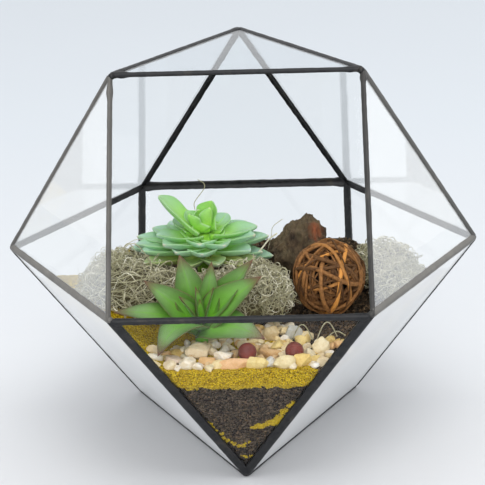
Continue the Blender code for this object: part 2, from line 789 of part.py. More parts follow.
def moss_route(centre, size, draw):
    """A curl that leaves the clump, wanders over it and goes back in."""
    turn = draw.uniform(0, math.tau)
    height = draw.uniform(0.1, 1.0)
    flat = math.sqrt(1 - height * height * 0.95)
    outward = Vector((flat * math.cos(turn), flat * math.sin(turn), height)).normalized()
    root = centre + Vector(a * b for a, b in zip(outward, size)) * 0.92
    across = Matrix.Rotation(draw.uniform(0, math.tau), 3, outward) @ outward.orthogonal().normalized()
    span, rise = draw.uniform(0.007, 0.013), draw.uniform(0.002, 0.0055)
    curl = outward.cross(across) * draw.uniform(-0.006, 0.006)
    steps = 7
    route = []
    for i in range(steps + 1):
        t = i / steps
        lift = outward * (rise * math.sin(math.pi * t) ** 0.6 * 1.6 - 0.0028)
        route.append(root + across * span * (t - 0.5) * 1.6 + lift + curl * math.sin(math.tau * t))
    return route


MOSS = {  # two lumps, each a centre and a half size, then the number of strands and a seed
    "moss_left": (
        ((-0.0570, -0.028, 0.0855), (0.0240, 0.024, 0.0115)),
        ((-0.0620, 0.004, 0.0900), (0.0165, 0.020, 0.0125)), 26, 3,
    ),
    "moss_middle": (
        ((-0.0080, -0.0430, 0.0800), (0.0280, 0.0070, 0.0110)),
        ((0.0155, -0.0405, 0.0850), (0.0070, 0.0070, 0.0125)), 18, 8,
    ),
    "moss_right": (
        ((0.0800, -0.014, 0.0810), (0.0120, 0.022, 0.0085)),
        ((0.0740, 0.012, 0.0850), (0.0150, 0.015, 0.0095)), 18, 5,
    ),
}
MOSS_FRONT_Y = -0.0500  # the middle clump stops here, behind the gravel


def make_moss(name, lumps, strands, seed, cutters, inside, collection):
    """A clump of moss: lumpy cores under curled strands, fitted round its neighbours."""
    draw = random.Random(seed)
    pieces = new_collection(name + "_strands")
    cores = []
    for centre, size in lumps:
        bm = bmesh.new()
        bmesh.ops.create_icosphere(bm, subdivisions=2, radius=1)
        for vert in bm.verts:
            rough = 1 + 0.32 * noise.noise(vert.co * 3.1 + Vector((seed, 0, 0)))
            vert.co = Vector(centre) + Vector(a * b for a, b in zip(vert.co * rough, size))
        cores.append(bm)
    add_object("lump", cores[1], pieces)
    for i in range(strands):
        centre, size = lumps[i % 2]
        add_strand(moss_route(Vector(centre), Vector(size), draw), MOSS_STRAND, False, pieces)
    moss = fuse(name, cores[0], pieces, collection, "moss", solver="MANIFOLD")
    for cutter in cutters:
        apply_boolean(moss, "DIFFERENCE", cutter, "MANIFOLD")
    apply_boolean(moss, "INTERSECT", inside, "MANIFOLD")
    keep_outer_body(moss)


def gravel_clearance(cutters):
    """A block in front of the middle clump, where the gravel lies."""
    bm = bmesh.new()
    size = 2 * EDGE
    middle = (size / 2 - 0.045, MOSS_FRONT_Y - size / 2, 0.08)
    bmesh.ops.create_cube(bm, size=size, matrix=Matrix.Translation(middle))
    return add_cutter("gravel_clearance", bm, cutters)


# ---------------------------------------------------------------- assembly

def main():
    clear_scene()
    terrarium = new_collection("glass_plant_terrarium")
    cutters = new_collection("cutters")
    for name, corners in PANES.items():
        make_pane(name, corners, terrarium)
    for name, edge in SEAMS.items():
        make_seam(name, edge, terrarium)
    inside = jar_inside(cutters)
    ground = ground_block(cutters)
    make_fill(inside, cutters, terrarium)
    make_gravel(inside, ground, cutters, terrarium)
    for name, spot in BEADS.items():
        make_bead(name, spot, terrarium)
    make_echeveria(terrarium)
    make_pointed_succulent(terrarium)
    make_vine_ball(terrarium)
    make_bark(ground, inside, terrarium)
    around = (ground, rosette_clearance(cutters), ball_clearance(cutters))
    for name, (*lumps, strands, seed) in MOSS.items():
        fitted = (*around, gravel_clearance(cutters)) if name == "moss_middle" else around
        make_moss(name, lumps, strands, seed, fitted, inside, terrarium)


main()
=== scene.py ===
"""Looks of the glass plant terrarium: leaded glass, fill, stones, plants, moss, vine ball and bark.

Everything is in metres, in the frame of the CAD part. The open mouth of the jar faces -Y.
"""

import math
import random

import bmesh
import bpy
from mathutils import Matrix, Vector, noise

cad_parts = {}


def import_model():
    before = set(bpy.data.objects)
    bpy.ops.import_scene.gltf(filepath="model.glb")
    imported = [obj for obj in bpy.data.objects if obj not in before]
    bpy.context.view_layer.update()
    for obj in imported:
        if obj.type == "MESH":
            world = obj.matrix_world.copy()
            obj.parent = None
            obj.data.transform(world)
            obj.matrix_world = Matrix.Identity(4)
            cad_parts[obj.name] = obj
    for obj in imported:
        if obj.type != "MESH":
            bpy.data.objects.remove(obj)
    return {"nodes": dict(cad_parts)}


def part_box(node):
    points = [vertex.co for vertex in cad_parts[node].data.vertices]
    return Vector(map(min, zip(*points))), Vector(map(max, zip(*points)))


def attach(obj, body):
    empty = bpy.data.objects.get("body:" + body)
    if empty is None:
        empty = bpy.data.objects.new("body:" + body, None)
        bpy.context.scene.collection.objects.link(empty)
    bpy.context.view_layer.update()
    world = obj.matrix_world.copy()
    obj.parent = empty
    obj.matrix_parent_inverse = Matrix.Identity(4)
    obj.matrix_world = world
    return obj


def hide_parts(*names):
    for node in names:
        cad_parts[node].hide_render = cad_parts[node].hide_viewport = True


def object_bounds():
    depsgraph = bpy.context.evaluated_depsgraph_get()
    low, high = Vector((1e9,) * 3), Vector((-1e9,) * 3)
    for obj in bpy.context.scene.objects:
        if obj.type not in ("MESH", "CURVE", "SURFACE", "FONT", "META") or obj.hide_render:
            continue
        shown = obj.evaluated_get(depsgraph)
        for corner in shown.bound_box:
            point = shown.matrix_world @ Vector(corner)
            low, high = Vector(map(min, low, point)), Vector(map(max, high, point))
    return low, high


# ------------- sizes: glass, fill and places are the CAD part's, those of the solder aren't

MM = 0.001
UPWARD = 0.4  # a face whose normal rises more than this looks up
EDGE = 0.120  # every edge of the cuboctahedron
GLASS = 0.0016  # thickness of a pane
LIFT = 0.0014  # the jar's edges stand this far above the ground, on their solder
TRIANGLE_RADIUS = EDGE / math.sqrt(3)
JAR_HEIGHT = EDGE * math.sqrt(8 / 3)
WAIST = JAR_HEIGHT / 2

SOLDER_HALF = 0.00112  # half the thickness of a seam over the glass
STRIP = 0.0025  # width of most seams, from the edge across a pane
STRIPS = {  # seams that were foiled narrower or wider than most
    "seam_mouth_top": 0.0018,
    "seam_mouth_left": 0.0014,
    "seam_mouth_right": 0.0015,
    "seam_mouth_sill": 0.0023,
    "seam_shoulder_left": 0.0019,
    "seam_front_foot_left": 0.0033,
    "seam_front_foot_right": 0.0033,
    "seam_side_foot_left": 0.0012,
    "seam_side_foot_right": 0.0012,
    "seam_base_left": 0.0012,
    "seam_base_right": 0.0012,
}
PAINTED_SHEEN_SEAMS = {  # how much pale grey is painted on each seam: painted reflection of the bright room at a glancing view
    "seam_mouth_left": 0.30,
    "seam_mouth_right": 0.10,
    "seam_shoulder_left": 0.24,
    "seam_shoulder_right": 0.16,
    "seam_front_waist_left": 0.42,
    "seam_front_waist_right": 0.42,
}
LIP = 0.0004  # solder beyond the glass round the mouth
SEAM_RINGS = 72
SEAM_END = 0.0013  # a seam narrows over this length at each end
CORNER_BLOB = 0.0017  # radius of the lump of solder on a corner
BLOB_SUNK = 0.0007  # the lump's middle lies this far in from the corner
BOX_MARGIN = 0.00005  # the solder stays this far inside the CAD's box

LEVEL = 0.0672  # top of the sand behind the front pane
SLOPE = 0.032
BANK = 0.016
MOUND = 0.011
MOUND_SPREAD = 0.024
FRONT_Y = -0.092
SOIL_CELL = 0.0013  # cells of the even meshes of the soil and the sand
SAND_CELL = 0.0010

BEAD_RADIUS = 0.0045
BEADS = {"bead_left": (0.0024, -0.080), "bead_right": (0.0248, -0.080)}

ROSETTE_AT = Vector((-0.020, 0.0, 0.0950))
POINTED_AT = Vector((-0.0200, -0.0590, 0.0745))
BALL_RADIUS = 0.0203
VINES = 60
BARK_AT = Vector((0.030, 0.014, 0.0885))
BARK_SIZE = Vector((0.0175, 0.0105, 0.0175))
RUST_AT = (0.0415, 0.006, 0.1035)  # middle of the rusty patch on the bark
BARK_TILT = math.radians(-24)
VINE_POINTS = 34  # on one turn of a vine
MOSS_STEP = 0.0013  # length of each short stretch of a moss strand
STRAND_ROOM = 0.0006  # room between the glass and the middle line of a moss curl
CORE_ROOM = 0.0008  # room between the glass and the dense inside of a clump
HOOP_STEPS = 16
THREAD_STEPS = 8  # between two points of a thread

# ---------------------------------------------------------------- the jar's corners and faces


def ring_corner(radius, degrees, z):
    angle = math.radians(degrees)
    return Vector((radius * math.cos(angle), radius * math.sin(angle), z + LIFT))


CORNERS = {
    "base_front": ring_corner(TRIANGLE_RADIUS, -90, 0),
    "base_right": ring_corner(TRIANGLE_RADIUS, 30, 0),
    "base_left": ring_corner(TRIANGLE_RADIUS, 150, 0),
    "front_right": ring_corner(EDGE, -60, WAIST),
    "right": ring_corner(EDGE, 0, WAIST),
    "back_right": ring_corner(EDGE, 60, WAIST),
    "back_left": ring_corner(EDGE, 120, WAIST),
    "left": ring_corner(EDGE, 180, WAIST),
    "front_left": ring_corner(EDGE, 240, WAIST),
    "top_back": ring_corner(TRIANGLE_RADIUS, 90, JAR_HEIGHT),
    "top_right": ring_corner(TRIANGLE_RADIUS, -30, JAR_HEIGHT),
    "top_left": ring_corner(TRIANGLE_RADIUS, 210, JAR_HEIGHT),
}
JAR_CENTRE = Vector((0, 0, WAIST + LIFT))
MOUTH = ("top_left", "top_right", "front_right", "front_left")


def both_sides(left_rows):
    """The rows, with each one whose name ends in left followed by its mirror image on the right."""
    rows = {}
    for name, corners in left_rows.items():
        rows[name] = corners
        if name.endswith("left"):
            rows[name.replace("left", "right")] = tuple(corner.replace("left", "right") for corner in corners)
    return rows


PANES = both_sides({
    "pane_base": ("base_front", "base_right", "base_left"),
    "pane_low_front": ("base_front", "front_right", "front_left"),
    "pane_low_left": ("base_front", "front_left", "left", "base_left"),
    "pane_low_back": ("base_left", "base_right", "back_right", "back_left"),
    "pane_rear_left": ("base_left", "left", "back_left"),
    "pane_side_left": ("front_left", "left", "top_left"),
    "pane_high_left": ("top_left", "left", "back_left", "top_back"),
    "pane_high_back": ("back_left", "back_right", "top_back"),
    "pane_top": ("top_left", "top_right", "top_back"),
})
SEAMS = both_sides({
    "seam_mouth_top": ("top_left", "top_right"),
    "seam_mouth_left": ("front_left", "top_left"),
    "seam_mouth_sill": ("front_left", "front_right"),
    "seam_top_left": ("top_left", "top_back"),
    "seam_shoulder_left": ("left", "top_left"),
    "seam_back_left": ("back_left", "top_back"),
    "seam_back_waist": ("back_left", "back_right"),
    "seam_rear_waist_left": ("left", "back_left"),
    "seam_front_waist_left": ("left", "front_left"),
    "seam_front_foot_left": ("base_front", "front_left"),
    "seam_side_foot_left": ("base_left", "left"),
    "seam_back_foot_left": ("base_left", "back_left"),
    "seam_base_left": ("base_front", "base_left"),
    "seam_base_back": ("base_left", "base_right"),
})


def face_middle(names):
    return sum((CORNERS[name] for name in names), Vector()) / len(names)


def face_normal(names):
    return (face_middle(names) - JAR_CENTRE).normalized()


def faces_at(edge):
    return [names for names in [*PANES.values(), MOUTH] if set(edge) <= set(names)]


def smooth_step(x):
    x = min(max(x, 0), 1)
    return x * x * (3 - 2 * x)


def sand_top(x, y):
    """Height of the sand: banked up against both front sides, with a heap under the echeveria."""
    bank = smooth_step((-x - 0.036) / 0.030) + smooth_step((x - 0.062) / 0.025)
    bank *= 1 - smooth_step((y + 0.010) / 0.040)
    away = (Vector((x, y)) - ROSETTE_AT.xy).length / MOUND_SPREAD
    return LEVEL + SLOPE * (y - FRONT_Y) + BANK * bank + MOUND * math.exp(-away * away)


def kept_inside(point, room):
    """The point, moved in where it comes closer than room to a pane."""
    point = point.copy()
    for _ in range(2):
        for names in PANES.values():
            normal = face_normal(names)
            over = (point - face_middle(names)).dot(normal) + GLASS / 2 + room
            if over > 0:
                point -= normal * over
    return point


# ---------------------------------------------------------------- making objects


def link(obj):
    bpy.context.scene.collection.objects.link(obj)
    return obj


def mesh_object(name, bm, look, smooth=True):
    """A new object from a bmesh, with one material."""
    mesh = bpy.data.meshes.new(name)
    bm.to_mesh(mesh)
    bm.free()
    for polygon in mesh.polygons:
        polygon.use_smooth = smooth
    mesh.materials.append(look)
    return link(bpy.data.objects.new(name, mesh))


def add_piece(obj, slot, *nodes):
    """Puts a finished piece on the one body; it stands for those CAD nodes, which are hidden."""
    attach(obj, "root")
    if nodes:
        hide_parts(*nodes)
    return obj


def finished_mesh(obj):
    """The object's evaluated mesh as a plain new object, in its place."""
    depsgraph = bpy.context.evaluated_depsgraph_get()
    mesh = bpy.data.meshes.new_from_object(obj.evaluated_get(depsgraph), depsgraph=depsgraph)
    name = obj.name
    old = obj.data
    bpy.data.objects.remove(obj, do_unlink=True)
    if isinstance(old, bpy.types.Mesh):
        bpy.data.meshes.remove(old)
    else:
        bpy.data.curves.remove(old)
    mesh.name = name
    return link(bpy.data.objects.new(name, mesh))


def joined(name, parts):
    """Several objects as one, with their materials and attributes."""
    for obj in bpy.context.selected_objects:
        obj.select_set(False)
    for obj in parts:
        obj.select_set(True)
    bpy.context.view_layer.objects.active = parts[0]
    bpy.ops.object.join()
    parts[0].name = name
    parts[0].data.name = name
    return parts[0]


# ---------------------------------------------------------------- node helpers


def paint(red, green, blue):
    """A colour given as 0 to 255 on screen, as the linear colour that shaders take."""

    def linear(value):
        share = value / 255
        return share / 12.92 if share < 0.04045 else ((share + 0.055) / 1.055) ** 2.4

    return (linear(red), linear(green), linear(blue), 1.0)


WHITE = paint(255, 255, 255)
BLACK = paint(0, 0, 0)


def add_node(tree, kind, inputs=None, **settings):
    """A node with its settings, its plain values and its links."""
    made = tree.nodes.new(kind)
    for name, value in settings.items():
        setattr(made, name, value)
    for name, value in (inputs or {}).items():
        if isinstance(value, bpy.types.NodeSocket):
            tree.links.new(value, made.inputs[name])
        else:
            made.inputs[name].default_value = value
    return made


def maths(tree, operation, first, second=0.0, clamp=False):
    made = add_node(tree, "ShaderNodeMath", {0: first, 1: second}, operation=operation, use_clamp=clamp)
    return made.outputs[0]


def blended(tree, factor, first, second, blend_type="MIX"):
    """Two colours mixed by a factor."""
    made = add_node(
        tree, "ShaderNodeMix", {0: factor, 6: first, 7: second}, data_type="RGBA", blend_type=blend_type
    )
    return made.outputs[2]


def remapped(tree, value, low, high, to_low=0.0, to_high=1.0):
    made = add_node(tree, "ShaderNodeMapRange", {0: value, 1: low, 2: high, 3: to_low, 4: to_high})
    return made.outputs[0]


def start_group(name, inputs, outputs):
    """A shader node group with named inputs (label, kind, value) and outputs (label, kind)."""
    tree = bpy.data.node_groups.new(name, "ShaderNodeTree")
    for label, kind, value in inputs:
        socket = tree.interface.new_socket(name=label, in_out="INPUT", socket_type="NodeSocket" + kind)
        if value is not None:
            socket.default_value = value
    for label, kind in outputs:
        tree.interface.new_socket(name=label, in_out="OUTPUT", socket_type="NodeSocket" + kind)
    return tree, tree.nodes.new("NodeGroupInput").outputs, tree.nodes.new("NodeGroupOutput").inputs


def mottle_group():
    """Soft patches of two colours, with a height."""
    tree, given, out = start_group(
        "mottle",
        [("Vector", "Vector", None), ("Scale", "Float", 200.0), ("Detail", "Float", 6.0),
         ("Contrast", "Float", 0.25), ("Dark", "Color", None), ("Light", "Color", None)],
        [("Colour", "Color"), ("Height", "Float")],
    )
    cloud = add_node(
        tree, "ShaderNodeTexNoise",
        {"Vector": given["Vector"], "Scale": given["Scale"], "Detail": given["Detail"], "Roughness": 0.6},
    )
    low = maths(tree, "SUBTRACT", 0.5, given["Contrast"])
    high = maths(tree, "ADD", 0.5, given["Contrast"])
    share = remapped(tree, cloud.outputs["Fac"], low, high)
    tree.links.new(blended(tree, share, given["Dark"], given["Light"]), out["Colour"])
    tree.links.new(share, out["Height"])
    return tree


def grain_group():
    """Packed grains, each of its own tone between two colours, with painted shade in the gaps and a height.
    """
    tree, given, out = start_group(
        "grains",
        [("Vector", "Vector", None), ("Scale", "Float", 1500.0), ("Dark", "Color", None),
         ("Light", "Color", None), ("Gap", "Color", None)],
        [("Colour", "Color"), ("Height", "Float")],
    )
    cells = add_node(tree, "ShaderNodeTexVoronoi", {"Vector": given["Vector"], "Scale": given["Scale"]})
    tone = add_node(tree, "ShaderNodeSeparateColor", {0: cells.outputs["Color"]}).outputs[0]
    colour = blended(tree, tone, given["Dark"], given["Light"])
    # dark rims between the grains: painted shade in the gaps
    gap_shade = remapped(tree, cells.outputs["Distance"], 0.45, 0.75)
    tree.links.new(blended(tree, gap_shade, colour, given["Gap"]), out["Colour"])
    tree.links.new(maths(tree, "SUBTRACT", 1.0, cells.outputs["Distance"]), out["Height"])
    return tree


class Look:
    """A material in the making: its tree, its Principled shader and the two shared groups."""

    def __init__(self, name, **values):
        self.material = bpy.data.materials.new(name)
        self.material.use_nodes = True
        self.tree = self.material.node_tree
        self.tree.nodes.clear()
        self.shader = add_node(self.tree, "ShaderNodeBsdfPrincipled")
        self.output = add_node(self.tree, "ShaderNodeOutputMaterial", {0: self.shader.outputs[0]})
        for label, value in values.items():
            self.shader.inputs[label.replace("_", " ")].default_value = value
        self.place = add_node(self.tree, "ShaderNodeTexCoord").outputs["Object"]

    def group(self, name, **values):
        made = add_node(self.tree, "ShaderNodeGroup", node_tree=bpy.data.node_groups[name])
        if "Vector" not in values:
            values["Vector"] = self.place
        for label, value in values.items():
            if isinstance(value, bpy.types.NodeSocket):
                self.tree.links.new(value, made.inputs[label])
            else:
                made.inputs[label].default_value = value
        return made.outputs

    def feed(self, label, socket):
        self.tree.links.new(socket, self.shader.inputs[label])

    def attribute(self, name):
        return add_node(self.tree, "ShaderNodeAttribute", attribute_name=name).outputs["Fac"]

    def bump(self, height, distance, strength=1.0, normal=None):
        inputs = {"Height": height, "Distance": distance, "Strength": strength}
        if normal is not None:
            inputs["Normal"] = normal
        return add_node(self.tree, "ShaderNodeBump", inputs).outputs[0]

    def stretched(self, scale, turn=(0, 0, 0)):
        made = add_node(self.tree, "ShaderNodeMapping", {"Vector": self.place, "Scale": scale})
        made.inputs["Rotation"].default_value = turn
        return made.outputs[0]


# ---------------------------------------------------------------- materials


# colour of the pale film on the glass: painted glare of the bright table and walls
PAINTED_GLARE = (0.93, 0.95, 0.96, 1)


def glass_look(name, mirror, tint, film=0.0, film_from=0.0, film_full=0.01):
    """Float glass, under a pale film where film is above 0: painted glare, which shows most at a glancing
    view.

    Shadow rays meet nearly clear glass, so it casts hardly any shadow.
    """
    look = Look(name, Base_Color=tint, IOR=mirror, Transmission_Weight=1.0, Roughness=0.0)
    wave = look.group("mottle", Scale=22.0, Detail=1.0, Contrast=0.5)
    look.feed("Normal", look.bump(wave["Height"], 0.00004))
    # a pale diffuse film, strongest at a glancing view: painted reflection of the bright room
    glare = add_node(look.tree, "ShaderNodeBsdfDiffuse", {"Color": PAINTED_GLARE})
    glancing = add_node(look.tree, "ShaderNodeLayerWeight", {"Blend": 0.5}).outputs["Facing"]
    thick = remapped(look.tree, glancing, film_from, film_full)
    uneven = remapped(look.tree, wave["Height"], 0, 1, film * 0.92, film * 1.08)
    cover = maths(look.tree, "MULTIPLY", thick, uneven)
    with_glare = add_node(
        look.tree, "ShaderNodeMixShader", {0: cover, 1: look.shader.outputs[0], 2: glare.outputs[0]}
    )
    clear = add_node(look.tree, "ShaderNodeBsdfTransparent", {"Color": (0.97, 0.98, 0.98, 1)})
    path = add_node(look.tree, "ShaderNodeLightPath")
    mix = add_node(
        look.tree, "ShaderNodeMixShader",
        {0: path.outputs["Is Shadow Ray"], 1: with_glare.outputs[0], 2: clear.outputs[0]},
    )
    look.tree.links.new(mix.outputs[0], look.output.inputs[0])
    return look.material


def solder_look():
    """Black-patina lead-free solder, rubbed to a warmer grey in places. Some seams get a painted pale
    reflection.
    """
    look = Look("black_patina_solder", Metallic=0.5, Specular_IOR_Level=0.45)
    tree = look.tree
    stain = look.group(
        "mottle", Scale=260.0, Contrast=0.2, Dark=paint(26, 28, 31), Light=paint(50, 50, 51)
    )
    rubbed = look.group("mottle", Scale=110.0, Detail=8.0, Contrast=0.2)
    worn = remapped(tree, rubbed["Height"], 0.75, 1.0, 0.0, 0.22)
    colour = blended(tree, worn, stain["Colour"], paint(104, 96, 84))
    thin = remapped(tree, rubbed["Height"], 0, 1, 0.7, 1.0)
    # patchy pale grey on some seams: painted reflection of the bright room, not bare solder
    bare = maths(tree, "MULTIPLY", look.attribute("paleness"), thin)
    look.feed("Base Color", blended(tree, bare, colour, paint(176, 172, 164)))
    look.feed("Roughness", remapped(tree, stain["Height"], 0, 1, 0.36, 0.56))
    fine = look.group("mottle", Scale=1400.0, Contrast=0.4)
    lumps = look.bump(rubbed["Height"], 0.00025, 0.5)
    look.feed("Normal", look.bump(fine["Height"], 0.00006, 0.5, lumps))
    return look.material


def sand_look():
    """Coarse dyed sand: ochre yellow with olive and dark grains."""
    look = Look("yellow_sand", Roughness=0.9, Specular_IOR_Level=0.1)
    grains = look.group(
        "grains", Scale=1500.0, Dark=paint(170, 140, 8), Light=paint(250, 224, 52), Gap=paint(112, 92, 6)
    )
    tint = look.group(
        "mottle", Scale=150.0, Contrast=0.2, Dark=paint(214, 196, 130), Light=paint(255, 248, 200)
    )
    look.feed("Base Color", blended(look.tree, 0.75, grains["Colour"], tint["Colour"], "MULTIPLY"))
    look.feed("Normal", look.bump(grains["Height"], 0.0004, 0.9))
    return look.material


def loose_sand_look():
    """Single grains, each with its own tone."""
    look = Look("loose_sand_grain", Roughness=0.8, Specular_IOR_Level=0.15)
    tone = look.attribute("tone")
    colour = blended(look.tree, tone, paint(176, 146, 8), paint(252, 226, 64))
    speck = look.group("mottle", Scale=2500.0, Contrast=0.3, Dark=paint(160, 150, 120), Light=WHITE)
    look.feed("Base Color", blended(look.tree, 1.0, colour, speck["Colour"], "MULTIPLY"))
    look.feed("Normal", look.bump(speck["Height"], 0.00012))
    return look.material


def soil_look():
    """Dark potting soil with brown fibre and paler crumbs."""
    look = Look("potting_soil", Roughness=0.95, Specular_IOR_Level=0.2)
    crumbs = look.group(
        "grains", Scale=1000.0, Dark=paint(50, 44, 38), Light=paint(138, 126, 112), Gap=paint(26, 22, 19)
    )
    fibre = look.group(
        "mottle", Scale=420.0, Detail=8.0, Contrast=0.14, Dark=paint(104, 91, 80),
        Light=paint(212, 196, 180),
    )
    look.feed("Base Color", blended(look.tree, 0.8, crumbs["Colour"], fibre["Colour"], "MULTIPLY"))
    rough = look.bump(crumbs["Height"], 0.0007)
    look.feed("Normal", look.bump(fibre["Height"], 0.0004, 0.8, rough))
    return look.material


def crumb_look():
    """Single crumbs of soil and bark, most of them dark."""
    look = Look("soil_crumb", Roughness=0.95, Specular_IOR_Level=0.2)
    tone = look.attribute("tone")
    mostly_dark = maths(look.tree, "POWER", tone, 2.2)
    colour = blended(look.tree, mostly_dark, paint(54, 46, 37), paint(150, 126, 100))
    speck = look.group(
        "mottle", Scale=1600.0, Contrast=0.3, Dark=paint(110, 104, 96), Light=paint(255, 250, 240)
    )
    look.feed("Base Color", blended(look.tree, 1.0, colour, speck["Colour"], "MULTIPLY"))
    look.feed("Normal", look.bump(speck["Height"], 0.0003))
    return look.material


def stone_look():
    """Gravel chips: each stone has its own colour, with veins and a matt broken skin."""
    look = Look("gravel_chip", Roughness=0.55, Specular_IOR_Level=0.4)
    own = add_node(look.tree, "ShaderNodeAttribute", attribute_name="stone_colour").outputs["Color"]
    veins = look.group(
        "mottle", Scale=330.0, Detail=7.0, Contrast=0.22, Dark=paint(232, 218, 190), Light=WHITE
    )
    specks = look.group("mottle", Scale=1500.0, Contrast=0.35, Dark=paint(228, 220, 206), Light=WHITE)
    colour = blended(look.tree, 1.0, own, veins["Colour"], "MULTIPLY")
    look.feed("Base Color", blended(look.tree, 0.8, colour, specks["Colour"], "MULTIPLY"))
    chipped = look.bump(veins["Height"], 0.0005, 0.6)
    look.feed("Normal", look.bump(specks["Height"], 0.00012, 0.7, chipped))
    return look.material


def bead_look():
    """Dry red-brown berries with a dull bloom."""
    look = Look("red_brown_bead", Specular_IOR_Level=0.35, Coat_Weight=0.12, Coat_Roughness=0.3)
    skin = look.group(
        "mottle", Scale=190.0, Detail=5.0, Contrast=0.25, Dark=paint(78, 24, 18), Light=paint(122, 42, 30)
    )
    bloom = look.group("mottle", Scale=620.0, Contrast=0.2)
    veil = maths(look.tree, "MULTIPLY", bloom["Height"], 0.15)
    look.feed("Base Color", blended(look.tree, veil, skin["Colour"], paint(176, 110, 90)))
    look.feed("Roughness", remapped(look.tree, bloom["Height"], 0, 1, 0.42, 0.7))
    look.feed("Normal", look.bump(bloom["Height"], 0.00008, 0.6))
    return look.material


def leaf_look(name, heart, blade, end, margin, margin_start, margin_strength, rim, blotches, tip, tip_start,
              withered_and_shaded):
    """Succulent skin. The UV map runs across (u) and along (v) a leaf, and age grows outwards."""
    look = Look(
        name, Roughness=0.5, Subsurface_Weight=0.08, Subsurface_Scale=0.003, Sheen_Weight=0.12,
        Sheen_Roughness=0.6, Specular_IOR_Level=0.35,
    )
    look.shader.inputs["Subsurface Radius"].default_value = (0.6, 1.0, 0.35)
    tree = look.tree
    across_along = add_node(tree, "ShaderNodeUVMap", uv_map="leaf")
    split = add_node(tree, "ShaderNodeSeparateXYZ", {0: across_along.outputs[0]})
    across, along = split.outputs[0], split.outputs[1]
    age = look.attribute("age")
    bloom = look.group("mottle", Scale=95.0, Detail=3.0, Contrast=0.3)
    grown = remapped(tree, age, 0.1, 0.6)
    spread = remapped(tree, grown, 0, 1, 0.35, 1.0)
    outer = maths(tree, "MULTIPLY", remapped(tree, along, 0.25, 0.75), spread)
    colour = blended(tree, outer, heart, blade)
    patches = remapped(tree, bloom["Height"], 0, 1, 0.5, 1.0)
    wax = maths(tree, "MULTIPLY", remapped(tree, along, 0.45, 0.95), patches)
    colour = blended(tree, maths(tree, "MULTIPLY", wax, grown), colour, end)
    edge = remapped(tree, maths(tree, "ABSOLUTE", across), margin_start, 1.0)
    margin_share = maths(tree, "MULTIPLY", maths(tree, "POWER", edge, 1.5), margin_strength)
    colour = blended(tree, margin_share, colour, margin)
    blotch = remapped(tree, bloom["Height"], 0, 1, blotches, 0.0)
    colour = blended(tree, blotch, colour, margin)
    crease = remapped(tree, maths(tree, "ABSOLUTE", across), 0.0, 0.12, 0.5, 0.0)
    colour = blended(tree, crease, colour, heart)
    outline = remapped(tree, maths(tree, "ABSOLUTE", across), 0.9, 1.0, 0.0, 0.5)
    colour = blended(tree, outline, colour, rim)
    # leaves past age 1 turn a withered olive, which also darkens them as painted shade
    past = maths(tree, "MULTIPLY", remapped(tree, age, 1.0, 2.0), patches)
    colour = blended(tree, past, colour, withered_and_shaded)
    ragged = maths(tree, "MULTIPLY", bloom["Height"], -0.05)
    point = remapped(tree, maths(tree, "ADD", along, ragged), tip_start, 0.97)
    colour = blended(tree, point, colour, tip)
    specks = look.group("mottle", Scale=1300.0, Contrast=0.35, Dark=paint(226, 230, 222), Light=WHITE)
    look.feed("Base Color", blended(tree, 0.8, colour, specks["Colour"], "MULTIPLY"))
    look.feed("Roughness", remapped(tree, bloom["Height"], 0, 1, 0.38, 0.58))
    look.feed("Normal", look.bump(specks["Height"], 0.00005, 0.5, look.bump(bloom["Height"], 0.0003, 0.4)))
    return look.material


def strand_look(name, dark, light, highlight, scale):
    """Dry plant strands: a tone of their own, with fibre and knots."""
    look = Look(name, Roughness=0.75, Specular_IOR_Level=0.3)
    tone = look.attribute("tone")
    colour = blended(look.tree, tone, dark, light)
    fibre = look.group(
        "mottle", Scale=scale, Detail=7.0, Contrast=0.25, Dark=paint(120, 112, 104), Light=WHITE
    )
    colour = blended(look.tree, 0.85, colour, fibre["Colour"], "MULTIPLY")
    rare = remapped(look.tree, tone, 0.8, 1.0)
    look.feed("Base Color", blended(look.tree, rare, colour, highlight))
    look.feed("Normal", look.bump(fibre["Height"], 0.0003, 0.8))
    return look.material


def bark_look():
    """Dark weathered bark with a rusty patch on its right shoulder."""
    look = Look("weathered_bark", Roughness=0.9)
    tree = look.tree
    ridges = look.group(
        "mottle", Vector=look.stretched((1, 1, 0.35), (0.2, 0.5, 0)), Scale=420.0, Detail=9.0, Contrast=0.2,
        Dark=paint(30, 22, 16), Light=paint(108, 88, 64),
    )
    lichen = look.group("mottle", Scale=130.0, Contrast=0.08, Dark=BLACK, Light=WHITE)
    patchy = maths(tree, "MULTIPLY", lichen["Height"], 0.35)
    colour = blended(tree, patchy, ridges["Colour"], paint(128, 114, 84))
    spot = add_node(tree, "ShaderNodeVectorMath", {0: look.place, 1: RUST_AT}, operation="DISTANCE")
    ragged = maths(tree, "ADD", spot.outputs["Value"], maths(tree, "MULTIPLY", ridges["Height"], 0.003))
    rust = remapped(tree, ragged, 0.0095, 0.004)
    look.feed("Base Color", blended(tree, rust, colour, paint(166, 88, 50)))
    look.feed("Normal", look.bump(ridges["Height"], 0.0012))
    return look.material


# ---------------------------------------------------------------- Geometry Nodes: grains and strands


def start_modifier_tree(name, sizes):
    """A Geometry Nodes tree with a mesh or curve input, named sizes and a material."""
    tree = bpy.data.node_groups.new(name, "GeometryNodeTree")
    tree.interface.new_socket(name="Geometry", in_out="INPUT", socket_type="NodeSocketGeometry")
    for label, kind in sizes:
        tree.interface.new_socket(name=label, in_out="INPUT", socket_type="NodeSocket" + kind)
    tree.interface.new_socket(name="Finish", in_out="INPUT", socket_type="NodeSocketMaterial")
    tree.interface.new_socket(name="Geometry", in_out="OUTPUT", socket_type="NodeSocketGeometry")
    return tree, tree.nodes.new("NodeGroupInput").outputs


def end_modifier_tree(tree, geometry, finish):
    """Every tree ends in real geometry with its material."""
    real = add_node(tree, "GeometryNodeRealizeInstances", {"Geometry": geometry})
    done = add_node(tree, "GeometryNodeSetMaterial", {"Geometry": real.outputs[0], "Material": finish})
    out = tree.nodes.new("NodeGroupOutput")
    tree.links.new(done.outputs[0], out.inputs[0])
    return tree


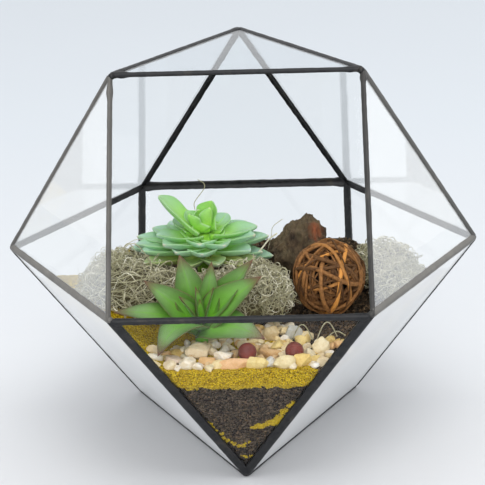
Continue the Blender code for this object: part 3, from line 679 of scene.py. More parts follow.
def random_node(tree, kind, low, high, seed):
    """A random value or vector, by its data type."""
    first = 0 if kind == "FLOAT_VECTOR" else 2
    made = add_node(tree, "FunctionNodeRandomValue", data_type=kind)
    for index, value in ((first, low), (first + 1, high), (8, seed)):
        if isinstance(value, bpy.types.NodeSocket):
            tree.links.new(value, made.inputs[index])
        else:
            made.inputs[index].default_value = value
    return made.outputs[0 if kind == "FLOAT_VECTOR" else 1]


def grain_tree():
    """Uneven little grains strewn over a surface, each moved out from it by Rise."""
    tree, given = start_modifier_tree(
        "strewn_grains",
        [("Density", "Float"), ("Smallest", "Float"), ("Largest", "Float"), ("Rise", "Float"),
         ("Fineness", "Int"), ("Seed", "Int")],
    )
    spots = add_node(
        tree, "GeometryNodeDistributePointsOnFaces",
        {"Mesh": given["Geometry"], "Density": given["Density"], "Seed": given["Seed"]},
    )
    outward = add_node(
        tree, "ShaderNodeVectorMath", {0: spots.outputs["Normal"], "Scale": given["Rise"]}, operation="SCALE"
    )
    raised = add_node(
        tree, "GeometryNodeSetPosition", {"Geometry": spots.outputs["Points"], "Offset": outward.outputs[0]}
    )
    ball = add_node(tree, "GeometryNodeMeshIcoSphere", {"Radius": 1.0, "Subdivisions": given["Fineness"]})
    size = random_node(tree, "FLOAT", given["Smallest"], given["Largest"], given["Seed"])
    shape = random_node(tree, "FLOAT_VECTOR", (0.65, 0.65, 0.65), (1.2, 1.2, 1.0), given["Seed"])
    scale = add_node(tree, "ShaderNodeVectorMath", {0: shape, "Scale": size}, operation="SCALE")
    turn = random_node(tree, "FLOAT_VECTOR", (0, 0, 0), (6.28, 6.28, 6.28), 7)
    grains = add_node(
        tree, "GeometryNodeInstanceOnPoints",
        {"Points": raised.outputs[0], "Instance": ball.outputs[0], "Rotation": turn,
         "Scale": scale.outputs[0]},
    )
    tone = add_node(
        tree, "GeometryNodeStoreNamedAttribute",
        {"Geometry": grains.outputs[0], "Name": "tone", "Value": random_node(tree, "FLOAT", 0.0, 1.0, 3)},
        data_type="FLOAT", domain="INSTANCE",
    )
    return end_modifier_tree(tree, tone.outputs[0], given["Finish"])


def strand_tree():
    """Strands along curves, as thick as each point's radius, with knots and a tone each."""
    tree, given = start_modifier_tree(
        "knotty_strands", [("Sides", "Int"), ("Knots", "Float"), ("Knot size", "Float"), ("Seed", "Int")]
    )
    toned = add_node(
        tree, "GeometryNodeStoreNamedAttribute",
        {"Geometry": given["Geometry"], "Name": "tone",
         "Value": random_node(tree, "FLOAT", 0.0, 1.0, given["Seed"])},
        data_type="FLOAT", domain="CURVE",
    )
    ring = add_node(tree, "GeometryNodeCurvePrimitiveCircle", {"Resolution": given["Sides"], "Radius": 1.0})
    thickness = add_node(tree, "GeometryNodeInputRadius")
    tube = add_node(
        tree, "GeometryNodeCurveToMesh",
        {"Curve": toned.outputs[0], "Profile Curve": ring.outputs[0], "Scale": thickness.outputs[0],
         "Fill Caps": True},
    )
    cloud = add_node(tree, "ShaderNodeTexNoise", {"Scale": given["Knots"], "Detail": 3.0})
    push = maths(tree, "SUBTRACT", cloud.outputs["Fac"], 0.5)
    reach = maths(tree, "MULTIPLY", push, given["Knot size"])
    facing = add_node(tree, "GeometryNodeInputNormal")
    offset = add_node(
        tree, "ShaderNodeVectorMath", {0: facing.outputs[0], "Scale": reach}, operation="SCALE"
    )
    knotty = add_node(
        tree, "GeometryNodeSetPosition", {"Geometry": tube.outputs[0], "Offset": offset.outputs[0]}
    )
    smooth = add_node(tree, "GeometryNodeSetShadeSmooth", {"Geometry": knotty.outputs[0]})
    return end_modifier_tree(tree, smooth.outputs[0], given["Finish"])


def apply_tree(obj, tree, **values):
    """Runs a Geometry Nodes tree on the object and returns the plain result."""
    modifier = obj.modifiers.new(tree.name, "NODES")
    modifier.node_group = tree
    for item in tree.interface.items_tree:
        label = item.name.replace(" ", "_")
        if item.in_out == "INPUT" and label in values:
            modifier[item.identifier] = values[label]
    return finished_mesh(obj)


def strewn(surface, finish, **grains):
    """Grains of the given sizes strewn over a surface."""
    return apply_tree(surface, bpy.data.node_groups["strewn_grains"], Finish=finish, **grains)


def strand_curve(name, routes):
    """A curve object with one spline for each route of (point, radius)."""
    curve = bpy.data.curves.new(name, "CURVE")
    curve.dimensions = "3D"
    for route in routes:
        spline = curve.splines.new("POLY")
        spline.points.add(len(route) - 1)
        for knot, (point, radius) in zip(spline.points, route):
            knot.co = (*point, 1)
            knot.radius = radius
    return link(bpy.data.objects.new(name, curve))


def strand_tubes(name, routes, finish, **values):
    """Solid strands along the routes."""
    tree = bpy.data.node_groups["knotty_strands"]
    return apply_tree(strand_curve(name, routes), tree, Finish=finish, **values)


# ---------------------------------------------------------------- the leaded frame


def seam_sides(edge):
    """For each pane at an edge, the way into the pane and its outward normal."""
    middle = (CORNERS[edge[0]] + CORNERS[edge[1]]) / 2
    sides = []
    for names in faces_at(edge):
        if names != MOUTH:
            normal = face_normal(names)
            inward = face_middle(names) - middle
            sides.append(((inward - normal * inward.dot(normal)).normalized(), normal))
    return sides


def seam_section(edge, width):
    """Closed outline of a solder bead round its edge, as offsets from the edge."""
    bead = [(width, GLASS / 2 + 0.00007), (width - 0.0001, GLASS / 2 + 0.00017),
            (width * 0.62, SOLDER_HALF - 0.00005), (width * 0.32, SOLDER_HALF + 0.00012)]
    sides = seam_sides(edge)
    outer = [[inward * t + normal * n for t, n in bead] for inward, normal in sides]
    inner = [[inward * t - normal * n for t, n in bead] for inward, normal in sides]
    if len(sides) == 1:
        inward, normal = sides[0]
        rim = [(-LIP * 0.3, SOLDER_HALF * 0.98), (-LIP * 0.8, SOLDER_HALF * 0.62), (-LIP, 0)]
        lip = [inward * t + normal * n for t, n in rim]
        lip += [inward * t - normal * n for t, n in reversed(rim[:-1])]
        return outer[0] + lip + inner[0][::-1]
    out = (sides[0][1] + sides[1][1]).normalized()
    ridge, fillet = out * (SOLDER_HALF + 0.00026), -out * (SOLDER_HALF + 0.00055)
    return outer[0] + [ridge] + outer[1][::-1] + inner[1][:3] + [fillet] + inner[0][:3][::-1]


DRIPS = {  # where extra solder has run together: share of the way along, how much, how far it spreads
    "seam_mouth_top": ((0.045, 0.55, 0.0022), (0.95, 0.30, 0.0016)),
    "seam_mouth_left": ((0.93, 0.35, 0.0028),),
    "seam_mouth_right": ((0.965, 0.40, 0.0016), (0.40, 0.10, 0.0060)),
    "seam_mouth_sill": ((0.03, 0.25, 0.0030), (0.97, 0.25, 0.0030), (0.55, 0.08, 0.0080)),
    "seam_back_waist": ((0.03, 0.30, 0.0025), (0.97, 0.30, 0.0025)),
    "seam_top_left": ((0.97, 0.35, 0.0025),),
}


def solder_seam(name, edge, corner_blobs, look, room):
    """A hand-laid solder bead along one edge, a little uneven, with rounded ends and blobs."""
    start, end = CORNERS[edge[0]], CORNERS[edge[1]]
    section = seam_section(edge, STRIPS.get(name, STRIP))
    bm = bmesh.new()
    rings = []
    for ring in range(SEAM_RINGS):
        share = (1 - math.cos(math.pi * ring / (SEAM_RINGS - 1))) / 2
        share = 0.35 * share + 0.65 * ring / (SEAM_RINGS - 1)
        at = start.lerp(end, share)
        swell = 1 + 0.06 * noise.noise(at * 170) + 0.06 * noise.noise(at * 620)
        for where, amount, spread in DRIPS.get(name, ()):
            swell += amount * math.exp(-(((share - where) * EDGE / spread) ** 2))
        from_end = min(share, 1 - share) * EDGE / SEAM_END
        if from_end < 1:
            swell *= max(math.sqrt(1 - (1 - from_end) ** 2), 0.2)
        verts = []
        for offset in section:
            ripple = 1 + 0.03 * noise.noise((at + offset) * 900)
            verts.append(bm.verts.new(at + offset * swell * ripple))
        rings.append(verts)
    count = len(section)
    for near, far in zip(rings, rings[1:]):
        for i in range(count):
            bm.faces.new((near[i], near[(i + 1) % count], far[(i + 1) % count], far[i]))
    bm.faces.new(rings[0])
    bm.faces.new(rings[-1])
    for corner in corner_blobs:
        add_corner_blob(bm, CORNERS[corner])
    lowest, highest = room
    # each seam's share of painted pale reflection
    paleness = bm.verts.layers.float.new("paleness")
    for vert in bm.verts:
        vert[paleness] = PAINTED_SHEEN_SEAMS.get(name, 0.0)
        for axis in range(3):
            vert.co[axis] = min(max(vert.co[axis], lowest[axis] + BOX_MARGIN), highest[axis] - BOX_MARGIN)
    bmesh.ops.recalc_face_normals(bm, faces=bm.faces)
    return add_piece(mesh_object(name.replace("seam", "solder"), bm, look), "solder", name)


def add_corner_blob(bm, corner):
    """The lump of solder that closes a corner where four seams meet."""
    middle = corner + (JAR_CENTRE - corner).normalized() * BLOB_SUNK
    place = Matrix.Translation(middle)
    made = bmesh.ops.create_icosphere(bm, subdivisions=3, radius=CORNER_BLOB, matrix=place)
    for vert in made["verts"]:
        away = vert.co - middle
        vert.co = middle + away * (1 + 0.14 * noise.noise(vert.co * 420))


def solder_frame(look, room):
    """All the seams, kept within a box. Each corner's blob belongs to the first seam that reaches it."""
    free = set(CORNERS)
    for name, edge in SEAMS.items():
        mine = [corner for corner in edge if corner in free]
        free -= set(mine)
        solder_seam(name, edge, mine, look, room)


# ---------------------------------------------------------------- soil, sand and stones


def remeshed_node(frame, node, name, cell, look):
    """A fine even mesh in the shape of a CAD node, from a copy of it."""
    bm = bmesh.new()
    bm.from_mesh(frame["nodes"][node].data)
    bmesh.ops.remove_doubles(bm, verts=bm.verts, dist=1e-6)
    obj = mesh_object(name, bm, look)
    modifier = obj.modifiers.new("even", "REMESH")
    modifier.mode = "VOXEL"
    modifier.voxel_size = cell
    modifier.use_smooth_shade = True
    return finished_mesh(obj)


def roughened(obj, push):
    """Moves each vertex along its normal by push(place, normal)."""
    bm = bmesh.new()
    bm.from_mesh(obj.data)
    bm.normal_update()
    moves = [(vert, vert.normal * push(vert.co, vert.normal)) for vert in bm.verts]
    for vert, move in moves:
        vert.co += move
    bmesh.ops.recalc_face_normals(bm, faces=bm.faces)
    bm.to_mesh(obj.data)
    bm.free()
    return obj


def surface_patch(obj, name, keep):
    """A copy of those faces of a mesh for which keep(middle, normal) is true."""
    bm = bmesh.new()
    bm.from_mesh(obj.data)
    gone = [face for face in bm.faces if not keep(face.calc_center_median(), face.normal)]
    bmesh.ops.delete(bm, geom=gone, context="FACES")
    return mesh_object(name, bm, obj.data.materials[0])


FRONT_NORMAL = face_normal(PANES["pane_low_front"])
FRONT_MIDDLE = face_middle(PANES["pane_low_front"])


def behind_front_pane(point):
    """How far a point lies behind the inner face of the low front pane."""
    return -(point - FRONT_MIDDLE).dot(FRONT_NORMAL) - GLASS / 2


def on_front_pane(x, z, depth):
    """The point at x and height z that lies depth behind the inner face of the low front pane."""
    y = FRONT_MIDDLE.y - ((z - FRONT_MIDDLE.z) * FRONT_NORMAL.z) / FRONT_NORMAL.y
    return Vector((x, y, z)) - FRONT_NORMAL * (GLASS / 2 + depth)


def make_soil(frame, looks):
    soil = remeshed_node(frame, "soil", "potting_soil", SOIL_CELL, looks["soil"])

    def crumble(place, normal):
        if normal.z > 0.7:
            return 0.0010
        return -0.0003 + 0.0004 * noise.noise(place * 420) + 0.0002 * noise.noise(place * 1100)

    roughened(soil, crumble)
    front = surface_patch(soil, "soil_front", lambda middle, normal: behind_front_pane(middle) < SOIL_SKIN)
    crumbs = strewn(
        front, looks["crumb"], Density=SOIL_DENSITY, Smallest=0.0004, Largest=0.0010, Rise=-0.0004,
        Fineness=1, Seed=5,
    )
    add_piece(joined("potting_soil", [soil, crumbs]), "soil", "soil")


SAND_STREAKS = (  # routes of sand run down behind the glass: half width, then x and height of each bend
    (0.0025, (0.024, 0.048), (0.019, 0.042), (0.015, 0.036), (0.009, 0.033), (0.004, 0.032)),
    (0.0013, (0.016, 0.038), (0.015, 0.032)),
    (0.0012, (-0.020, 0.039), (-0.015, 0.033), (-0.008, 0.023), (-0.002, 0.020), (0.002, 0.022)),
    (0.0008, (-0.002, 0.013), (0.003, 0.013)),
)
SOIL_DENSITY = 420000.0  # soil crumbs on a square metre
LOOSE_DENSITY = 900000.0  # loose sand grains on a square metre
LITTER_DENSITY = 500000.0  # crumbs of litter on a square metre
STREAK_DENSITY = 7000000.0  # grains on a square metre of the streaks
LOOSE_BACK = -0.030  # no loose grains lie further back than this
SOIL_SKIN = 0.0016  # soil less than this behind the front pane gets crumbs
SAND_SKIN = 0.0014  # sand less than this behind the front pane gets loose grains
SAND_EDGE = 0.0583  # height of the bottom of the sand at the front pane


def make_sand(frame, looks):
    sand = remeshed_node(frame, "sand", "yellow_sand", SAND_CELL, looks["sand"])

    def heave(place, normal):
        if normal.z < -0.5:
            return 0.0007 * noise.noise(place * 300)
        sunk = 0.0008 if littered(place, normal) else 0.0002
        return -sunk + 0.0003 * noise.noise(place * 260) + 0.0002 * noise.noise(place * 900)

    roughened(sand, heave)
    sand.data.materials.append(looks["soil"])
    for polygon in sand.data.polygons:
        polygon.material_index = int(littered(polygon.center, polygon.normal))

    def loose_here(middle, normal):
        bare = normal.z > UPWARD and not under_litter(middle)
        return middle.y < LOOSE_BACK and (bare or behind_front_pane(middle) < SAND_SKIN)

    top = surface_patch(sand, "sand_front", loose_here)
    litter = surface_patch(sand, "litter_bed", littered)
    loose = strewn(
        top, looks["loose_sand"], Density=LOOSE_DENSITY, Smallest=0.00022, Largest=0.00045, Rise=0.0,
        Fineness=1, Seed=2,
    )
    crumbs = strewn(
        litter, looks["crumb"], Density=LITTER_DENSITY, Smallest=0.0006, Largest=0.0013, Rise=0.0,
        Fineness=1, Seed=6,
    )
    crumbs.name = "dark_litter"
    add_piece(crumbs, "soil")
    loose.name = "loose_sand_grains"
    add_piece(loose, "sand")
    add_piece(sand, "sand", "sand")
    add_piece(sand_streaks(looks), "sand")


def under_litter(place):
    """True on the right and at the back, where dark litter covers the sand round the ball and the bark."""
    border = 0.027 - (place.y + 0.078) * 0.62 + 0.004 * noise.noise(place * 130)
    return place.x > border


def littered(place, normal):
    return normal.z > UPWARD and under_litter(place)


def streak_blobs(draw):
    """Round blobs along each streak, widest in its middle: x, height and radius."""
    blobs = []
    for half, *bends in SAND_STREAKS:
        steps = 4 * (len(bends) - 1)
        for step in range(steps + 1):
            leg = min(step // 4, len(bends) - 2)
            x, z = Vector(bends[leg]).lerp(Vector(bends[leg + 1]), step / 4 - leg)
            swell = 0.45 + 0.55 * math.sin(math.pi * step / steps)
            blobs.append((x + draw.uniform(-0.0007, 0.0007), z + draw.uniform(-0.0007, 0.0007),
                          half * swell * draw.uniform(0.6, 1.1)))
    return blobs


def sand_streaks(looks):
    """Patches of sand that have trickled down behind the low front pane."""
    bm = bmesh.new()
    across = Vector((1, 0, 0))
    up = FRONT_NORMAL.cross(across)
    draw = random.Random(8)
    hanging = [(x / 1000, SAND_EDGE + draw.uniform(-0.0012, 0.0004), draw.uniform(0.0006, 0.0015))
               for x in range(-26, 28, 2)]
    for x, z, radius in (*streak_blobs(draw), *hanging):
        middle = on_front_pane(x, z, 0.00028)
        verts = []
        for i in range(18):
            angle = math.tau * i / 18
            reach = radius * (1 + 0.35 * noise.noise(Vector((math.cos(angle), math.sin(angle), x * 900))))
            verts.append(bm.verts.new(
                middle + across * math.cos(angle) * reach + up * math.sin(angle) * reach
            ))
        bm.faces.new(verts)
    bmesh.ops.triangulate(bm, faces=bm.faces)
    return strewn(
        mesh_object("sand_streaks", bm, looks["sand"]), looks["loose_sand"], Density=STREAK_DENSITY,
        Smallest=0.00020, Largest=0.00040, Rise=0.0, Fineness=1, Seed=9,
    )


CHIP_TRIES = 3600  # places tried for the small chips
STONE_COLOURS = (
    (252, 246, 228), (246, 230, 186), (238, 208, 132), (238, 200, 150), (252, 250, 246), (240, 226, 196),
    (244, 224, 156), (248, 238, 214), (250, 240, 208), (228, 200, 158),
)
STONES = (  # the larger chips in front, in millimetres: x, y, half size (x, y, z); turn in degrees, colour
    (-42, -79, (4, 2.5, 2), 10, (254, 252, 244)),
    (-33, -80, (4, 3, 2.5), -35, (230, 214, 202)),
    (-26, -85, (4, 3, 3.5), 5, (254, 250, 240)),
    (-21, -74, (6, 4, 4), 25, (236, 224, 198)),
    (-9, -78, (4.5, 3.5, 3), 0, (254, 252, 248)),
    (-4, -85, (7.5, 2.5, 3), 6, (242, 200, 156)),
    (7, -86, (5, 2.5, 3.5), -20, (246, 230, 168)),
    (13, -85, (3, 2.5, 2.5), 0, (226, 232, 240)),
    (19, -86, (5, 3, 4), 0, (248, 238, 200)),
    (28, -84, (5, 3, 4), -15, (246, 222, 146)),
    (32, -77, (3, 3, 3), 0, (240, 232, 206)),
    (37, -70, (4, 3.5, 4.5), 20, (248, 238, 208)),
    (13, -74, (5, 3.5, 2.5), -10, (228, 192, 144)),
    (15, -53, (4, 3.5, 4.5), 15, (232, 216, 178)),
    (24, -54, (4.5, 3.5, 4), -12, (206, 212, 214)),
)


def add_stone(bm, colours, at, size, turn, tint, draw):
    """A broken chip: a ball cut flat on many sides."""
    made = bmesh.ops.create_icosphere(bm, subdivisions=3 if size[0] > 0.0038 else 2, radius=1)
    cuts = [random_way(draw, 1.0) for _ in range(11)]
    depths = [draw.uniform(0.52, 0.80) for _ in cuts]
    phase = Vector((draw.uniform(0, 99), draw.uniform(0, 99), draw.uniform(0, 99)))
    spin = Matrix.Rotation(math.radians(turn), 3, "Z") @ Matrix.Rotation(draw.uniform(-0.35, 0.35), 3, "X")
    for vert in made["verts"]:
        point = vert.co.copy()
        for cut, depth in zip(cuts, depths):
            over = point.dot(cut) - depth
            if over > 0:
                point -= cut * over
        point *= 1 + 0.07 * noise.noise(point * 1.6 + phase) + 0.02 * noise.noise(point * 5 + phase)
        vert.co = at + spin @ Vector(a * b * 1.30 for a, b in zip(point, size))
    for vert in made["verts"]:
        over = 0.0002 - behind_front_pane(vert.co)
        if over > 0:
            vert.co -= FRONT_NORMAL * over
        for face in vert.link_faces:
            for loop in face.loops:
                loop[colours] = tint


def gravel_back(x):
    back = -0.086 + 0.016 * smooth_step((x + 0.038) / 0.012) + 0.0185 * smooth_step(x / 0.014)
    return back - 0.022 * smooth_step((x - 0.022) / 0.016)


def make_gravel(look):
    """Chips and pebbles on the sand in front, fewer of the small ones on the left."""
    draw = random.Random(12)
    bm = bmesh.new()
    colours = bm.loops.layers.float_color.new("stone_colour")
    taken = [(Vector(spot), 0.0050) for spot in BEADS.values()]
    for x, y, size, turn, colour in STONES:
        x, y, size = x * MM, y * MM, Vector(size) * MM
        at = Vector((x, y, sand_top(x, y) + size[2] * 0.45))
        add_stone(bm, colours, at, size, turn, paint(*colour), draw)
        taken.append((Vector((x, y)), max(size[0], size[1])))
    for _ in range(CHIP_TRIES):
        spot = Vector((draw.uniform(-0.043, 0.050), draw.uniform(-0.088, -0.040)))
        if spot.y > gravel_back(spot.x) + 0.014 or spot.x > 0.040 + (spot.y + 0.088) * 0.6:
            continue
        if spot.x < -0.012 and draw.random() < 0.6:
            continue
        half = draw.uniform(0.0018, 0.0038)
        if any((spot - other).length < (half + reach) * 0.68 for other, reach in taken):
            continue
        taken.append((spot, half))
        size = (half, half * draw.uniform(0.6, 1.0), half * draw.uniform(0.5, 0.85))
        at = Vector((*spot, sand_top(*spot) + size[2] * 0.4))
        colour = STONE_COLOURS[draw.randrange(len(STONE_COLOURS))]
        add_stone(bm, colours, at, size, draw.uniform(0, 360), paint(*colour), draw)
    add_piece(mesh_object("gravel_chips", bm, look, smooth=False), "gravel", "gravel")


def make_beads(look):
    """Dry round berries, slightly uneven, with a small dimple where the stalk was."""
    for name in BEADS:
        bm = bmesh.new()
        lowest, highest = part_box(name)
        middle = (Vector(lowest) + Vector(highest)) / 2
        bmesh.ops.create_uvsphere(bm, u_segments=40, v_segments=24, radius=1)
        dimple = Vector((0.35, -0.75, 0.55)).normalized()
        for vert in bm.verts:
            close = math.exp(-((1 - vert.co.dot(dimple)) / 0.012))
            swell = 1 + 0.02 * noise.noise(vert.co * 2.5 + middle * 90) - 0.07 * close
            vert.co = middle + vert.co * BEAD_RADIUS * 0.985 * swell
        add_piece(mesh_object("berry_" + name.split("_")[1], bm, look), "bead", name)


# ---------------------------------------------------------------- the two succulents


def leaf_width(t, root, broad, point):
    """Share of a leaf's full width at t along it: root at its base, full at broad, 0 at its tip."""
    if t < broad:
        return root + (1 - root) * smooth_step(t / broad)
    return max(1 - ((t - broad) / (1 - broad)) ** point, 0)


def add_leaf(bm, layers, base, tip, face, width, thick, bow, cup, shape, age, fold=2.0, mucro=0.0):
    """A fleshy leaf on an arched midrib, with rounded margins. The UV map runs across and along it."""
    stations, around = 22, 20
    chord = tip - base
    up = (face - chord * face.dot(chord) / chord.length_squared).normalized()
    middle = (base + tip) / 2 + up * bow * 2
    rings = []
    for station in range(stations):
        t = math.sin(math.pi / 2 * station / (stations - 0.4))
        spine = base * (1 - t) ** 2 + middle * 2 * t * (1 - t) + tip * t * t
        along = ((middle - base) * (1 - t) + (tip - middle) * t).normalized()
        side = along.cross(up).normalized()
        out = side.cross(along)
        half = width / 2 * max(leaf_width(t, *shape), mucro * (1 - t) / 0.1)
        flesh = thick / 2 * (1 - 0.55 * t) * min(1, half / (thick * 0.5))
        ring = []
        for i in range(around):
            angle = math.tau * i / around
            across = math.cos(angle)
            body = math.sin(angle) * flesh * (0.7 if math.sin(angle) > 0 else 1.3)
            lift = cup * half / (width / 2) * abs(across) ** fold
            wave = 0.00025 * noise.noise((spine + side * across * half) * 160) * abs(across)
            ring.append((bm.verts.new(spine + side * across * half + out * (lift + body + wave)), across, t))
        rings.append(ring)
    point = (bm.verts.new(tip), 0.0, 1.0)
    for near, far in zip(rings, rings[1:]):
        for i in range(around):
            j = (i + 1) % around
            add_leaf_face(bm, layers, (near[i], near[j], far[j], far[i]), age)
    for i in range(around):
        add_leaf_face(bm, layers, (rings[-1][i], rings[-1][(i + 1) % around], point), age)
    add_leaf_face(bm, layers, rings[0][::-1], age)


def leaf_layers(bm):
    """The UV map of the leaves, and the age of each: 0 in the heart, 1 outermost, 2 once it withers."""
    return bm.loops.layers.uv.new("leaf"), bm.verts.layers.float.new("age")


def add_leaf_face(bm, layers, corners, age):
    uv, ages = layers
    face = bm.faces.new([vert for vert, _, _ in corners])
    for loop, (vert, across, along) in zip(face.loops, corners):
        loop[uv].uv = (across, along)
        vert[ages] = age


def add_stem(bm, at, radius, top):
    """A round, slightly knobbly stem from below the sand up to the leaf bases."""
    bottom = sand_top(at.x, at.y) - 0.007
    made = bmesh.ops.create_cone(
        bm, cap_ends=True, segments=20, radius1=radius, radius2=radius * 0.9, depth=top - bottom,
        matrix=Matrix.Translation((at.x, at.y, (top + bottom) / 2)),
    )
    for vert in made["verts"]:
        vert.co.xy += (vert.co.xy - at.xy) * 0.08 * noise.noise(vert.co * 500)


def finish_plant(name, bm, look, slot, node):
    bmesh.ops.recalc_face_normals(bm, faces=bm.faces)
    add_piece(mesh_object(name, bm, look), slot, node)


# leaf shapes: root, broad and point, as leaf_width takes them
SPOON = (0.42, 0.64, 2.3)
BLADE = (0.80, 0.34, 1.55)


ROSETTE = (  # each leaf: its turn in degrees; reach, lift and width in millimetres; its age
    (90, 0, 18, 6, 0.0), (130, 4, 22, 12, 0.05), (315, 5, 25, 9, 0.1), (210, 8, 22, 9, 0.1),
    (50, 7, 26, 14, 0.1), (140, 12, 20, 12, 0.25), (172, 23, 30, 19, 0.28),
    (135, 22, 14, 14, 0.5), (15, 29, 11, 18, 0.45), (50, 19, 16, 15, 0.5), (100, 19, 15, 15, 0.55),
    (195, 25, 12, 16, 0.55), (265, 17, 10, 16, 0.6), (300, 23, 10, 15, 0.7), (345, 28, 11, 16, 0.75),
    (225, 28, 11, 15, 0.8), (190, 36, 7, 15, 0.85), (170, 36, 7, 15, 0.85), (270, 27, 8, 16, 0.9),
    (205, 35, 6, 15, 0.9), (185, 38, 4, 14, 0.95), (5, 34, 7, 16, 0.9), (325, 30, 6, 15, 0.95),
    (240, 27, 8, 15, 0.9), (25, 34, 3, 15, 0.95), (350, 31, 1, 15, 1.0), (0, 36, -3, 17, 1.0),
    # ages above 1: the lowest leaves in front, withered and darkened as painted shade
    (220, 39, 3, 13, 1.9), (255, 34, 3, 12, 1.7), (285, 33, 4, 12, 1.6), (305, 35, 2, 12, 2.0),
    (320, 36, 2, 11, 1.8),
)
ROSETTE_BACK = range(45, 160, 27)  # turns of the leaves at the back
BACK_LEAF = (31, 9, 16, 0.85)  # reach, lift, width and age
LOWEST_BACK_LEAF = (31, 1, 15, 1.0)
HEART_HEIGHT = 0.0128  # the youngest leaves start this far above the oldest


def make_echeveria(look):
    """The large rosette of spoon-shaped leaves: upright in the heart, flat and then drooping outside."""
    bm = bmesh.new()
    layers = leaf_layers(bm)
    rows = [*ROSETTE, *((turn, *BACK_LEAF) for turn in ROSETTE_BACK)]
    rows += [(turn, *LOWEST_BACK_LEAF) for turn in ROSETTE_BACK[1:4]]
    for turn, reach, lift, width, age in rows:
        outward = Vector((math.cos(math.radians(turn)), math.sin(math.radians(turn)), 0))
        tip = ROSETTE_AT + outward * reach * MM + Vector((0, 0, lift * MM))
        base = ROSETTE_AT + outward * 0.0020 + Vector((0, 0, HEART_HEIGHT * (1 - min(age, 1)) ** 0.55))
        steepness = (tip.z - base.z) / (tip - base).length
        bow = -0.0022 + 0.0016 * steepness
        face = Vector((0, 0, 1)) - outward * 0.25
        add_leaf(bm, layers, base, tip, face, width * MM, 0.0036, bow, 0.0030, SPOON, age, mucro=0.15)
    add_stem(bm, ROSETTE_AT, 0.0040, ROSETTE_AT.z + 0.010)
    finish_plant("echeveria_rosette", bm, look, "echeveria_leaf", "echeveria")


# each pointed leaf: tip, width, direction of the upper face, lift of its middle, fold; lengths in millimetres
POINTED_LEAVES = (
    ((-62, -66, 88), 15, (0.1, -0.55, 0.9), 4.5, 0.12),
    ((-40, -85, 73), 20, (-0.35, -0.45, 0.85), 7.5, 0.08),
    ((11, -78, 78), 20, (0.15, -0.6, 0.75), 5.0, 0.08),
    ((-47, -60, 102), 15, (0.35, -0.85, 0.45), 0.8, 0.40),
    ((-30, -49, 111), 18, (0.15, -1.0, 0.35), -1.2, 0.34),
    ((-14, -57, 110), 12, (0.1, -1.0, 0.2), -0.6, 0.42),
    ((6, -55, 110), 15, (-0.55, -0.8, 0.45), -1.2, 0.42),
    ((10, -63, 104), 17, (-0.45, -0.9, 0.55), 1.0, 0.34),
    ((-30, -69, 97), 7, (0.8, -0.3, 0.5), 0.4, 0.35),
    ((-22, -64, 100), 6, (0.7, -0.7, 0.1), 0.0, 0.35),
    ((-13, -65, 100), 6, (-0.8, -0.5, 0.3), 0.0, 0.35),
    ((-20, -65, 94), 5, (0.0, -1.0, 0.1), 0.0, 0.30),
)


def make_pointed_succulent(look):
    """The smaller plant in front, of folded pointed leaves."""
    bm = bmesh.new()
    layers = leaf_layers(bm)
    for index, (tip, width, face, bow, fold) in enumerate(POINTED_LEAVES):
        age = 1 - index / (len(POINTED_LEAVES) - 1)
        tip, width = Vector(tip) * MM, width * MM
        away = tip - POINTED_AT
        base = POINTED_AT + Vector((away.x, away.y, 0)).normalized() * 0.0016
        base.z += 0.002 + 0.004 * (1 - age)
        cup = width * fold
        add_leaf(bm, layers, base, tip, Vector(face), width, 0.0022, bow * MM, cup, BLADE, age, fold=1.1)
    add_stem(bm, POINTED_AT, 0.0032, POINTED_AT.z + 0.006)
    finish_plant("pointed_succulent_plant", bm, look, "pointed_leaf", "pointed_succulent")


# ---------------------------------------------------------------- vine ball, bark and moss


def vine_route(centre, reach, thickness, draw, turns):
    """A vine wound round the ball: a tilted, slightly wandering ring."""
    axis = random_way(draw, 0.8)
    first = axis.orthogonal().normalized()
    second = axis.cross(first)
    drift = draw.uniform(-0.5, 0.5)
    phase, start = draw.uniform(0, math.tau), draw.uniform(0, math.tau)
    points = round(VINE_POINTS * turns)
    route = []
    for i in range(points + 1):
        share = i / points
        angle = start + math.tau * turns * share
        shift = drift * 0.6 + 0.42 * math.sin(angle * 0.5 + phase) + 0.06 * math.sin(angle * 3 + phase)
        spoke = first * math.cos(angle) + second * math.sin(angle) + axis * shift
        dip = 0.0010 * (1 - math.cos(2 * angle + phase)) * 0.5
        ends = min(share, 1 - share)
        tuck = 0.005 * max(0, 1 - ends / 0.08)
        radius = thickness * (1 + 0.12 * math.sin(angle * 5 + phase)) * min(1, 0.35 + ends * 14)
        route.append((centre + spoke.normalized() * (reach - dip - tuck), radius))
    return route


def make_vine_ball(looks):
    """Vines of several thicknesses wound into an open ball round a heart that is dark as painted shade."""
    draw = random.Random(11)
    lowest, highest = (Vector(corner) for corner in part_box("vine_ball"))
    centre = (lowest + highest) / 2
    routes = []
    for _ in range(VINES):
        thickness = draw.choice((0.0004, 0.0006, 0.0007, 0.0009, 0.0011))
        depth = draw.uniform(0, 0.0040)
        reach = BALL_RADIUS - thickness - 0.0003 - depth
        routes.append(vine_route(centre, reach, thickness, draw, draw.uniform(0.7, 1.3)))
    vines = strand_tubes(
        "vine_ball_windings", routes, looks["vine"], Sides=8, Knots=520.0, Knot_size=0.0003, Seed=4
    )
    # a dark ball inside the vines: painted shade between them
    bm = bmesh.new()
    bmesh.ops.create_icosphere(
        bm, subdivisions=4, radius=BALL_RADIUS * 0.60, matrix=Matrix.Translation(centre)
    )
    for vert in bm.verts:
        vert.co = centre + (vert.co - centre) * (1 + 0.12 * noise.noise(vert.co * 240))
    heart = mesh_object("vine_ball_heart", bm, looks["heart"])
    add_piece(joined("wound_vine_ball", [vines, heart]), "vine", "vine_ball")


